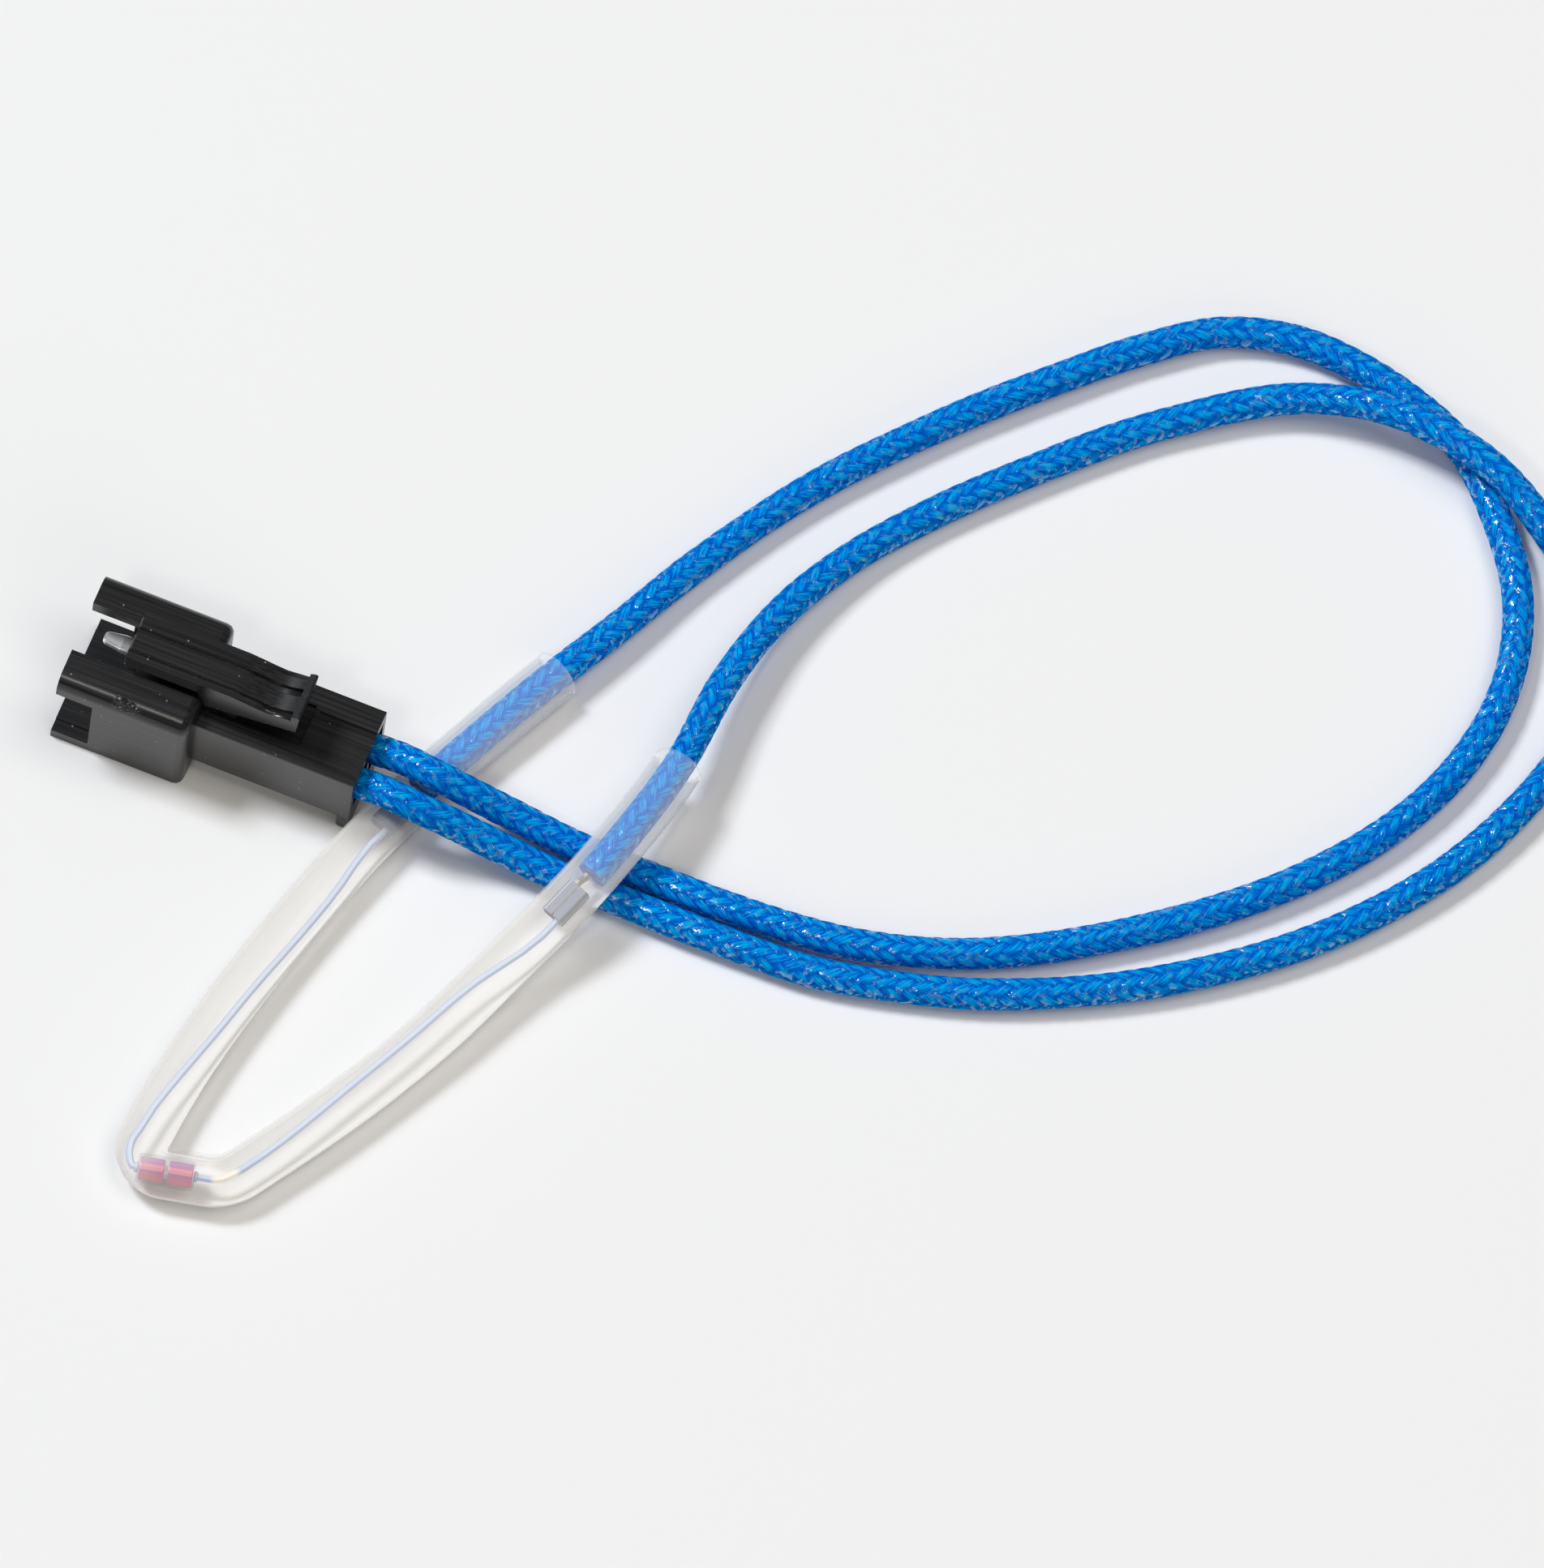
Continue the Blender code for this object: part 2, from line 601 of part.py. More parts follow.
# Splice ferrules and bare strands

def ferrule_outline():
    """C-shaped section of the folded ferrule, seam uppermost, round the two wires in it."""
    inside = BEAD_LEAD_DIAMETER + CONDUCTOR_DIAMETER + 4 * FIT_GAP
    half, top = inside / 2 + FERRULE_SHEET, FERRULE_HEIGHT / 2
    seam, sheet, corner = FERRULE_SEAM / 2, FERRULE_SHEET, FERRULE_SHEET * 1.3
    outer = [(seam, top)] + arc((half - corner, top - corner), corner, 90, 0, 3)
    outer += arc((half - corner, corner - top), corner, 0, -90, 3)
    mirrored = [(-across, height) for across, height in reversed(outer)]
    inner = [(-seam, top - sheet), (sheet - half, top - sheet), (sheet - half, sheet - top),
             (half - sheet, sheet - top), (half - sheet, top - sheet), (seam, top - sheet)]
    return outer + mirrored + inner


def add_ferrules():
    for number, jacket, direction in ((1, JACKET_END_1, -1), (2, JACKET_END_2, 1)):
        bm = prism(ferrule_outline(), -FERRULE_LENGTH / 2, FERRULE_LENGTH / 2, "x")
        bmesh.ops.transform(bm, matrix=ferrule_frame(jacket, direction), verts=bm.verts)
        name = "splice_ferrule_%d" % number
        add_object(name, mesh_from(bm, name, 40), "tin")


def add_sleeve_conductors():
    """Bare strands between each jacket's end and its ferrule."""
    offset = BEAD_LEAD_DIAMETER / 2 + FIT_GAP
    for number, jacket, direction in ((1, JACKET_END_1, -1), (2, JACKET_END_2, 1)):
        grip = ferrule_frame(jacket, direction)
        points = [THREAD.beside(jacket - direction * along, direction * offset / 2)
                  for along in (SEAT_GAP, BARE_STRAND_LENGTH / 3)]
        points += [grip @ Vector((direction * along, direction * offset, 0))
                   for along in (FERRULE_LENGTH / 2 + BARE_STRAND_LENGTH / 4, 0, -FERRULE_LENGTH * 0.4)]
        tube_along("strands_%d" % number, points, CONDUCTOR_DIAMETER, "copper")


# Housing

def shroud_outline():
    half, radius = SHROUD_WIDTH / 2, SHROUD_EDGE_RADIUS
    right = arc((half - radius, SHROUD_HEIGHT - radius), radius, 0, 90, 5)
    left = arc((radius - half, SHROUD_HEIGHT - radius), radius, 90, 180, 5)
    return [(-half, 0), (half, 0)] + right + left


def lever_outline():
    """Side view of the see-saw lever: hooked nose, flat arm, heel over the pivot, thumb end."""
    top = LEVER_BOTTOM + LEVER_ARM_HEIGHT
    tip_top = top + LEVER_TIP_RISE
    heel = LEVER_START + LEVER_HEEL_FROM_FRONT
    heel_bottom = LEVER_BOTTOM - LEVER_HEEL_DROP
    tip_bottom = tip_top - LEVER_TIP_THICKNESS
    saddle = [(LEVER_END - back, top - LEVER_SAG * share) for back, share in LEVER_SADDLE]
    return ([(LEVER_START, LEVER_BOTTOM), (LEVER_START, top - LEVER_EDGE),
             (LEVER_START + LEVER_EDGE, top)]
            + saddle + [(LEVER_END - LEVER_EDGE, tip_top), (LEVER_END, tip_top - LEVER_EDGE),
                        (LEVER_END - LEVER_EDGE, tip_bottom), (heel, heel_bottom),
                        (heel - 0.25, heel_bottom + 0.3), (heel - 0.4, LEVER_BOTTOM),
                        (LEVER_START + LEVER_HOOK_LENGTH, LEVER_BOTTOM),
                        (LEVER_START + LEVER_HOOK_LENGTH, LEVER_BOTTOM - LEVER_HOOK_DROP),
                        (LEVER_START + 0.3, LEVER_BOTTOM - LEVER_HOOK_DROP)])


def add_housing():
    half_width = SHROUD_WIDTH / 2
    bm = prism(shroud_outline(), SHROUD_FRONT, SHROUD_REAR, "x")
    round_edges(bm, lambda a, b: min(a.x, b.x) > SHROUD_REAR - 0.01 and max(a.z, b.z) > 0.01,
                SHROUD_REAR_ROUNDING, 3)
    housing = add_object("connector_housing", mesh_from(bm, "connector_housing"), "housing")

    body = box((SHROUD_REAR - SHROUD_REAR_ROUNDING - 0.4, -BODY_WIDTH / 2, BODY_BOTTOM),
               (BODY_REAR, BODY_WIDTH / 2, BODY_TOP))
    round_edges(body, lambda a, b: abs(a.x - b.x) > 1, BODY_EDGE_ROUNDING, 2)
    join(housing, body, "wire_end_block")
    foot = box((BODY_REAR - FOOT_LENGTH, -BODY_WIDTH / 2 + 0.01, 0),
               (BODY_REAR - 0.01, BODY_WIDTH / 2 - 0.01, BODY_BOTTOM + 0.5))
    round_edges(foot, lambda a, b: max(a.x, b.x) < BODY_REAR - 0.1 and max(a.z, b.z) < 0.01,
                FOOT_ROUNDING, 2)
    join(housing, foot, "rear_foot")

    cut(housing, box((SHROUD_FRONT - 1, -half_width + SIDE_THICKNESS, FLOOR_THICKNESS),
                     (PARTITION_FRONT, half_width - SIDE_THICKNESS, CAVITY_CEILING)), "mating_hollow")
    cut(housing, box((SHROUD_FRONT - 1, -ROOF_SLOT_WIDTH / 2, CAVITY_CEILING - 1),
                     (PARTITION_FRONT, ROOF_SLOT_WIDTH / 2, SHROUD_HEIGHT + 1)), "roof_slot")
    cut(housing, box((PARTITION_FRONT - 0.5, -ROOF_SLOT_WIDTH / 2, BODY_TOP),
                     (SHROUD_REAR + 1, ROOF_SLOT_WIDTH / 2, SHROUD_HEIGHT + 1)), "roof_slot_rear")
    notch_floor = FLOOR_THICKNESS - NOTCH_SILL_STEP
    for name, side in (("near_notch", -1), ("far_notch", 1)):
        edges = sorted((side * (half_width - SIDE_THICKNESS - 0.01), side * (half_width + 1)))
        cut(housing, box((SHROUD_FRONT - 1, edges[0], notch_floor),
                         (SHROUD_FRONT + NOTCH_LENGTH, edges[1], NOTCH_TOP)), name)
    cut(housing, box((SHROUD_REAR + TROUGH_START, -TROUGH_WIDTH / 2, BODY_TOP - TROUGH_DEPTH),
                     (SHROUD_REAR + TROUGH_END, TROUGH_WIDTH / 2, BODY_TOP + 1)), "lever_trough")
    cut(housing, box((SHROUD_REAR + TOP_GROOVE_START, TOP_GROOVE_FROM_MIDDLE,
                      BODY_TOP - TOP_GROOVE_SIZE),
                     (BODY_REAR + 1, TOP_GROOVE_FROM_MIDDLE + TOP_GROOVE_SIZE, BODY_TOP + 1)),
        "top_groove")
    for name, side in (("near_cavity", -1), ("far_cavity", 1)):
        middle = side * PITCH / 2
        cut(housing, box((PARTITION_REAR, middle - CAVITY_WIDTH / 2, CAVITY_BOTTOM),
                         (BODY_REAR + 1, middle + CAVITY_WIDTH / 2, CAVITY_BOTTOM + CAVITY_HEIGHT)),
            name)
        across = PIN_WIDTH / 2 + PIN_HOLE_ROOM
        upward = PIN_THICKNESS / 2 + PIN_HOLE_ROOM
        cut(housing, box((PARTITION_FRONT - 0.5, middle - across, PIN_HEIGHT - upward),
                         (PARTITION_REAR + 0.5, middle + across, PIN_HEIGHT + upward)),
            name + "_pin_hole")
    add_lever(housing)


def add_lever(housing):
    pivot_start = LEVER_START + LEVER_HEEL_FROM_FRONT + PIVOT_FROM_HEEL
    pivot = box((pivot_start, -PIVOT_WIDTH / 2, BODY_TOP - 0.4),
                (pivot_start + PIVOT_LENGTH, PIVOT_WIDTH / 2, LEVER_BOTTOM + 0.3))
    join(housing, pivot, "lever_pivot")
    lever = prism(lever_outline(), -LEVER_WIDTH / 2, LEVER_WIDTH / 2, "y")
    join(housing, lever, "lever_beam")
    top = LEVER_BOTTOM + LEVER_ARM_HEIGHT
    high = top + LEVER_TIP_RISE + 1
    lip = LEVER_END - LEVER_LIP_LENGTH
    bottom = top - LEVER_GROOVE_DEPTH
    run = [(LEVER_START - 1, bottom)]
    run += [(LEVER_END - back, bottom - LEVER_SAG * share) for back, share in LEVER_SADDLE[:4]]
    run += [(lip, bottom - LEVER_SAG * LEVER_LIP_SAG), (lip, high), (LEVER_START - 1, high)]
    groove_start = LEVER_GROOVE_OFFSET - LEVER_GROOVE_WIDTH / 2
    cut(housing, prism(run, groove_start, groove_start + LEVER_GROOVE_WIDTH, "y"), "lever_groove")
    raise_by = LEVER_GROOVE_DEPTH - LEVER_LEDGE_DEPTH
    ledge = [(along, height if height == high else height + raise_by) for along, height in run]
    for name, side in (("near_ledge", -1), ("far_ledge", 1)):
        inner = side * (LEVER_WIDTH / 2 - LEVER_LEDGE_WIDTH)
        ends = sorted((inner, side * (LEVER_WIDTH / 2 + 1)))
        cut(housing, prism(ledge, *ends, "y"), name)


# Contacts

def pin(middle, end):
    """Flat pin with a rounded nose and tapered tip, from its tip back into the folded box."""
    bm = bmesh.new()
    rings = []
    for along, width_share, thickness_share in (
            (PIN_TIP, 0.5, 0.5), (PIN_TIP + PIN_NOSE, 0.7, 0.85),
            (PIN_TIP + PIN_TIP_TAPER, 1.0, 1.0), (end, 1.0, 1.0)):
        across = PIN_WIDTH / 2 * width_share
        upward = PIN_THICKNESS / 2 * thickness_share
        rings.append([bm.verts.new((along, middle + across * a, PIN_HEIGHT + upward * b))
                      for a, b in ((-1, -0.5), (-0.75, -1), (0.75, -1), (1, -0.5),
                                   (1, 0.5), (0.75, 1), (-0.75, 1), (-1, 0.5))])
    for ring, following in zip(rings, rings[1:]):
        bridge(bm, ring, following)
    bm.faces.new(rings[0])
    bm.faces.new(rings[-1])
    return bm


def add_contacts():
    """Pin, folded box and wire barrel of each contact, bent from one strip."""
    sheet = CONTACT_SHEET
    half_box = CONTACT_BOX_WIDTH / 2
    floor = CAVITY_BOTTOM + CONTACT_FLOOR_ROOM
    ceiling = floor + CONTACT_BOX_HEIGHT
    box_start = PARTITION_REAR + SEAT_GAP * 2
    box_end = box_start + CONTACT_BOX_LENGTH
    barrel_end = JACKET_END_X - BARREL_FROM_JACKET
    barrel_start = barrel_end - WIRE_BARREL_LENGTH
    bore = CONDUCTOR_DIAMETER / 2 + SEAT_GAP
    for number, side in ((1, 1), (2, -1)):
        middle = side * PITCH / 2
        name = "contact_%d" % number
        contact = add_object(name, mesh_from(pin(middle, box_start + sheet * 2), name), "tin")
        join(contact, box((box_start, middle - half_box, floor), (box_end, middle + half_box, ceiling)),
             name + "_box")
        cut(contact, box((box_start + sheet, middle - half_box + sheet, floor + sheet),
                         (box_end + 1, middle + half_box - sheet, ceiling - sheet)),
            name + "_box_hollow")
        neck = box((box_end - CONTACT_OVERLAP, middle - bore - sheet, floor),
                   (barrel_start + CONTACT_OVERLAP, middle + bore + sheet, floor + sheet))
        join(contact, neck, name + "_neck")
        web = box((barrel_start, middle - bore - sheet, floor),
                  (barrel_end, middle + bore + sheet, WIRE_HEIGHT + bore + sheet))
        round_edges(web, lambda a, b: abs(a.x - b.x) > 1 and min(a.z, b.z) > WIRE_HEIGHT,
                    BARREL_ROUNDING, 2)
        join(contact, web, name + "_wire_barrel")
        cut(contact, box((barrel_start - 1, middle - bore, WIRE_HEIGHT - bore),
                         (barrel_end + 1, middle + bore, WIRE_HEIGHT + bore)), name + "_barrel_bore")
        # Bare strands run from the jacket's end through the wire barrel.
        points = [Vector((along, middle, WIRE_HEIGHT))
                  for along in (JACKET_END_X - SEAT_GAP, barrel_end, barrel_start - CONTACT_OVERLAP)]
        tube_along("contact_strands_%d" % number, points, CONDUCTOR_DIAMETER, "copper")


def main():
    clear_scene()
    add_housing()
    add_contacts()
    add_leads()
    add_sleeve()
    add_bead()
    add_bead_leads()
    add_ferrules()
    add_sleeve_conductors()


main()
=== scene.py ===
"""Looks of the leaded glass bead thermistor: braided leads, milky sleeve, bead and housing.

Routes and sizes are in millimetres, as in the part's source, and meshes are in metres.
"""

import json
import math

import bmesh
import bpy
import numpy as np
from mathutils import Matrix, Vector


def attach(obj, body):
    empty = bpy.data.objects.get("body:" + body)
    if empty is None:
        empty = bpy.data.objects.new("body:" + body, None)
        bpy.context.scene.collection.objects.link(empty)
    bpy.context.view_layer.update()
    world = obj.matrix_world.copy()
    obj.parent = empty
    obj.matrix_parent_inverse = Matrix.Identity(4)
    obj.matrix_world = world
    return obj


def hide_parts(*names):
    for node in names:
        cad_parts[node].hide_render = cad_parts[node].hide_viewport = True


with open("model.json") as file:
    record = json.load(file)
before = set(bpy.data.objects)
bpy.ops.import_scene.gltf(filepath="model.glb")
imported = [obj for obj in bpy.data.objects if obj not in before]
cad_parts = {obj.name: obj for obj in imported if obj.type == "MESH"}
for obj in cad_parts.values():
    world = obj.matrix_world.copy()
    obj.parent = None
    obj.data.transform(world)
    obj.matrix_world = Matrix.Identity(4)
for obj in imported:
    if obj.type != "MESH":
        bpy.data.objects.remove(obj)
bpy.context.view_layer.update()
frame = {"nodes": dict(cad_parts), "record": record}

MM = 0.001

# Camera: the photo's own directions in the row frame, and what it sees
CAMERA_RIGHT = Vector((0.928, 0.365, 0.074))
CAMERA_BACK = Vector((0.1005, -0.4366, 0.8933))
CAMERA_TARGET = Vector((36.84, 9.78, 1.0)) * MM
CAMERA_DISTANCE = 3.0
VIEW_HEIGHT = 93.9 * MM
SENSOR = 36.0
CLIP_START, CLIP_END = 0.1, 20.0

# Driving sizes, as in the part's source
PITCH = 2.5
WIRE_HEIGHT = 3.4
BODY_REAR = 14.45
LEAD_IN_HOUSING = 2.4
LEAD_DIAMETER = 1.95
TABLE_GAP = 0.02
JACKET_IN_UPPER_SLEEVE = 11.6
JACKET_IN_LOWER_SLEEVE = 9.4
SLEEVE_DIAMETER = 3.15
SLEEVE_BORE = 2.45
FOLD_RADIUS = 1.625
FOLD_STRETCH = 0.13
FOLD_EASE = 0.8
OPENING_BEND_RADIUS = 3.0

UPPER_ROUTE = [
    (14.3, 1.25, 3.42), (16.3, 1.05, 3.95),
    (18.2, 0.68, 4.34), (20.3, 0.73, 3.7), (23.2, 1.05, 2.3), (26.6, 1.15, 1.3),
    (30.1, 1.1, 1.0), (37.5, 1.08, 1.0), (45.5, 1.87, 1.0), (51.1, 3.65, 1.0),
    (60.0, 9.0, 1.0), (64.4, 12.6, 1.0), (68.5, 16.8, 1.0), (71.9, 21.6, 1.0),
    (74.2, 26.9, 1.0), (75.0, 32.7, 1.0), (74.5, 36.4, 1.0), (73.3, 39.7, 1.0),
    (70.5, 43.7, 1.0), (66.4, 47.6, 1.0), (63.2, 49.0, 1.0), (59.1, 50.0, 1.0),
    (54.7, 50.1, 1.0), (50.7, 48.9, 1.0), (46.6, 45.8, 1.0), (42.8, 42.1, 1.0),
    (38.9, 38.0, 1.0), (35.8, 34.4, 1.0), (32.5, 30.2, 1.0), (27.1, 21.1, 1.1),
    (24.6, 15.7, 1.4),
]
UPPER_SLEEVE_ROUTE = [
    (22.4, 11.2, 1.6), (19.4, 4.7, 1.6), (16.0, -3.8, 1.6), (13.7, -11.9, 1.6),
    (12.1, -19.2, 1.6), (11.27, -25.2, 1.6),
]
FOLD_CORNER = (10.98, -29.6, 1.6)
OPENING_CORNER = (16.71, -28.28, 1.6)
LOWER_SLEEVE_ROUTE = [
    (19.87, -23.04, 1.6), (24.17, -14.72, 1.7), (27.26, -7.06, 2.5), (29.0, -2.9, 3.5),
    (30.2, 1.0, 3.87), (31.5, 7.5, 3.35),
]
LOWER_ROUTE = [
    (32.0, 14.6, 2.6), (33.0, 19.4, 2.0), (35.9, 26.0, 1.25), (38.6, 29.9, 1.0),
    (43.7, 35.8, 1.0), (50.0, 41.95, 1.05), (57.1, 46.45, 1.7), (61.1, 47.2, 2.5),
    (65.4, 46.9, 3.02), (69.6, 45.8, 2.97), (73.1, 44.0, 2.25), (76.7, 41.3, 1.3),
    (79.1, 37.5, 1.0), (80.1, 33.1, 1.0), (79.3, 28.4, 1.0), (78.6, 26.1, 1.0),
    (76.8, 21.8, 1.0), (73.0, 16.0, 1.0), (70.1, 12.7, 1.0), (65.0, 8.3, 1.0),
    (62.2, 6.3, 1.0), (57.1, 3.4, 1.0), (53.1, 1.6, 1.0), (48.3, 0.1, 1.0),
    (43.6, -0.92, 1.0), (38.4, -1.15, 1.0), (30.1, -1.1, 1.0), (26.6, -1.13, 1.25),
    (23.2, -1.22, 2.15), (20.4, -1.47, 3.32), (18.5, -1.7, 4.06), (17.0, -1.66, 4.3),
    (15.6, -1.44, 3.97), (14.1, -1.25, 3.45),
]

# Braid: eight strands each way, two over and two under, in a herringbone
BRAID_STRANDS = 8
BRAID_LAY = 9.0
BRAID_CROWN = 0.085
BRAID_WEAVE = 0.05
BRAID_FLATNESS = 3
BRAID_SIDES = 48
BRAID_RING_SPACING = 0.105
BRAID_SHARE = 0.9
LEAD_SMOOTHING = 6
THREADS_PER_STRAND = 9.0
THREAD_STRETCH = 1.2

# Where the lacquer is off the bead's lead; that bare spot is also painted near white, as a painted
# glint
BARE_AND_GLINT_PLACE = (16.7, -28.1, 1.8)
BARE_AND_GLINT_REACH = 0.7
BARE_AND_GLINT_EASE = 0.4

# The way up across the slugs' painted light bands, which stand in for their highlight and
# reflections
SLUG_PAINTED_LIGHT_UP = (-0.36, 0.82, 0.44)

# Bore of the glass
GLASS_BORE_RADIUS = 0.75

# Torn gate on the near wing: middle and half sizes
GATE_SCAR_PLACE = (0.05, -3.85, 7.0)
GATE_SCAR_SIZE = (1.15, 0.7, 0.7)

# Housing: edges that turn more than this are broken, but not in the grooves of the lever's
# tail, which starts here and lies above this height
SHARP_TURN = math.radians(35)
EDGE_BREAK = 0.05
TAIL_START = 7.5
TAIL_FLOOR = 4.5

# Points nearer than this are one point, in metres
SAME_PLACE = 1e-7

# Sleeve mesh
SLEEVE_SIDES = 40
SLEEVE_RING_SPACING = 0.4
SLEEVE_FOLD_SPACING = 0.12

# How much of the view the sleeve's skins stop: the outer one on top, where it clings to a
# jacket, beside a ferrule, over the bead and elsewhere, and the others all along
JACKET_CLOUD = 0.17
FERRULE_CLOUD = 0.22
BEAD_CLOUD = 0.10
SLEEVE_CLOUD = 0.24
OUTER_UNDER_CLOUD = 0.74
INNER_CLOUD = 0.06
SLEEVE_RIM_CLOUD = 0.24
SLEEVE_RIM = 0.12

# How much light they stop: less than that, because the wall scatters much of it onward
OUTER_TOP_SHADE = 0.08
OUTER_UNDER_SHADE = 0.84
INNER_SHADE = 0.02

# How far the sleeve's shading turns upright, because light spreads through the wall
SLEEVE_UPRIGHT = 2.0
SLEEVE_UPRIGHT_EASE = 0.06

# Light: a cool key and warm fill, so that shadows are warm and the lit table is neutral.
# Each lamp has its direction, distance and size in metres, watts, colour and whether it mirrors.
COOL, WARM = (0.955, 1.0, 1.07), (1.03, 0.975, 0.90)
LAMPS = (
    ("overhead_box", (0.35, 0.14, 1.0), 1.3, 0.8, 5.65, WARM, False),
    ("window_left", (-0.58, 0.10, 0.80), 2.1, 0.50, 30.1, COOL, True),
    ("fill_front", (0.65, -0.70, 0.55), 1.5, 0.7, 2.7, WARM, False),
    ("strip_front", (-0.10, -0.56, 0.84), 1.3, 0.16, 1.7, WARM, True),
)
WORLD_STRENGTH = 0.09
TABLE_HALF_WIDTH = 1.5
TABLE_COLOUR = (0.87, 0.87, 0.865)


# Camera

def add_camera():
    data = bpy.data.cameras.new("camera")
    camera = bpy.data.objects.new("camera", data)
    bpy.context.scene.collection.objects.link(camera)
    back = CAMERA_BACK.normalized()
    right = (CAMERA_RIGHT - back * CAMERA_RIGHT.dot(back)).normalized()
    turn = Matrix((right, back.cross(right), back)).transposed()
    place = Matrix.Translation(CAMERA_TARGET + back * CAMERA_DISTANCE)
    camera.matrix_world = place @ turn.to_4x4()
    data.sensor_width = SENSOR
    data.lens = SENSOR * CAMERA_DISTANCE / VIEW_HEIGHT
    data.clip_start, data.clip_end = CLIP_START, CLIP_END
    bpy.context.scene.camera = camera


# The line that the wires, sleeve and bead follow

def smooth_line(controls, samples=12):
    """Points on a smooth curve through the controls; the first and last ones only steer it."""
    points = [Vector(control) for control in controls]
    tangents = [None]
    for before, here, after in zip(points, points[1:], points[2:]):
        back, ahead = (here - before).length, (after - here).length
        slope = (here - before) / back * ahead + (after - here) / ahead * back
        tangents.append(slope / (back + ahead))
    line = []
    for i in range(1, len(points) - 2):
        start, end = points[i], points[i + 1]
        span = (end - start).length
        for j in range(samples):
            t = j / samples
            line.append((2 * t**3 - 3 * t**2 + 1) * start
                        + (t**3 - 2 * t**2 + t) * span * tangents[i]
                        + (3 * t**2 - 2 * t**3) * end
                        + (t**3 - t**2) * span * tangents[i + 1])
    return line + [points[-2]]


def rounded_corner(before, corner, after, radius, steps):
    """Points on the arc that rounds a corner, from tangent point to tangent point."""
    corner = Vector(corner)
    arrive = (corner - Vector(before)).normalized()
    leave = (Vector(after) - corner).normalized()
    turn = arrive.angle(leave)
    reach = radius * math.tan(turn / 2)
    centre = corner + (leave - arrive).normalized() * radius / math.cos(turn / 2)
    normal = arrive.cross(leave).normalized()
    start = corner - arrive * reach
    return [centre + Matrix.Rotation(turn * i / steps, 3, normal) @ (start - centre)
            for i in range(steps + 1)]


class Line:
    """A sampled line that can be read at any distance along it."""

    def __init__(self, points):
        self.points = np.array([tuple(point) for point in points])
        steps = np.linalg.norm(np.diff(self.points, axis=0), axis=1)
        self.marks = np.concatenate(([0.0], np.cumsum(steps)))
        self.length = float(self.marks[-1])

    def many(self, distances):
        distances = np.clip(distances, 0.0, self.length)
        return np.stack([np.interp(distances, self.marks, self.points[:, k])
                         for k in range(3)], axis=1)

    def nearest(self, target):
        gaps = np.linalg.norm(self.points - np.array(target), axis=1)
        return float(self.marks[int(np.argmin(gaps))])


def cavity_points(side):
    jacket_end = BODY_REAR - LEAD_IN_HOUSING
    return [(jacket_end - back, side * PITCH / 2, WIRE_HEIGHT) for back in (LEAD_IN_HOUSING, 0)]


def thread():
    fold = rounded_corner(UPPER_SLEEVE_ROUTE[-1], FOLD_CORNER, OPENING_CORNER, FOLD_RADIUS, 27)
    bend = rounded_corner(FOLD_CORNER, OPENING_CORNER, LOWER_SLEEVE_ROUTE[0],
                          OPENING_BEND_RADIUS, 15)
    upper = smooth_line(cavity_points(1) + UPPER_ROUTE + UPPER_SLEEVE_ROUTE
                        + [fold[0], FOLD_CORNER])
    lower = smooth_line([OPENING_CORNER, bend[-1]] + LOWER_SLEEVE_ROUTE + LOWER_ROUTE
                        + cavity_points(-1)[::-1])
    return Line(upper[:-1] + fold + bend + lower[1:])


THREAD = thread()
SLEEVE_START = THREAD.nearest(UPPER_SLEEVE_ROUTE[0])
SLEEVE_END = THREAD.nearest(LOWER_SLEEVE_ROUTE[-1])
FOLD_START, FOLD_END = (THREAD.nearest(point) for point in rounded_corner(
    UPPER_SLEEVE_ROUTE[-1], FOLD_CORNER, OPENING_CORNER, FOLD_RADIUS, 1))
BEND_END = THREAD.nearest(rounded_corner(
    FOLD_CORNER, OPENING_CORNER, LOWER_SLEEVE_ROUTE[0], OPENING_BEND_RADIUS, 1)[-1])


# Meshes

def grid_mesh(name, rings, closed_ends=True, uv=None):
    """A tube mesh from an array of rings (rings, sides, 3) in millimetres."""
    count, sides, _ = rings.shape
    verts = rings.reshape(-1, 3) * MM
    i = np.arange(count - 1)[:, None] * sides
    j = np.arange(sides)[None, :]
    k = (j + 1) % sides
    faces = np.stack([i + j, i + k, i + sides + k, i + sides + j], axis=2).reshape(-1, 4)
    faces = faces.tolist()
    if closed_ends:
        faces.append(list(range(sides))[::-1])
        faces.append([(count - 1) * sides + side for side in range(sides)])
    mesh = bpy.data.meshes.new(name)
    mesh.from_pydata(verts.tolist(), [], faces)
    mesh.validate()
    mesh.shade_smooth()
    if uv is not None:
        layer = mesh.uv_layers.new(name="along")
        flat = uv.reshape(-1, 2)
        corners = np.empty(len(mesh.loops), dtype=np.int64)
        mesh.loops.foreach_get("vertex_index", corners)
        values = flat[corners].astype(np.float32)
        # The last column's far corners wrap round to one whole turn.
        face_of = np.repeat(np.arange(len(mesh.polygons)),
                            [len(face.vertices) for face in mesh.polygons])
        around = corners % sides
        last = (face_of % sides == sides - 1) & (face_of < (count - 1) * sides)
        values[last & (around == 0), 0] += 1.0
        layer.data.foreach_set("uv", values.ravel())
    mesh.update()
    return mesh


def add_piece(name, data, material, slot, *replaced):
    piece = bpy.data.objects.new(name, data)
    bpy.context.scene.collection.objects.link(piece)
    data.materials.append(material)
    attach(piece, "root")
    if replaced:
        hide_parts(*replaced)
    return piece


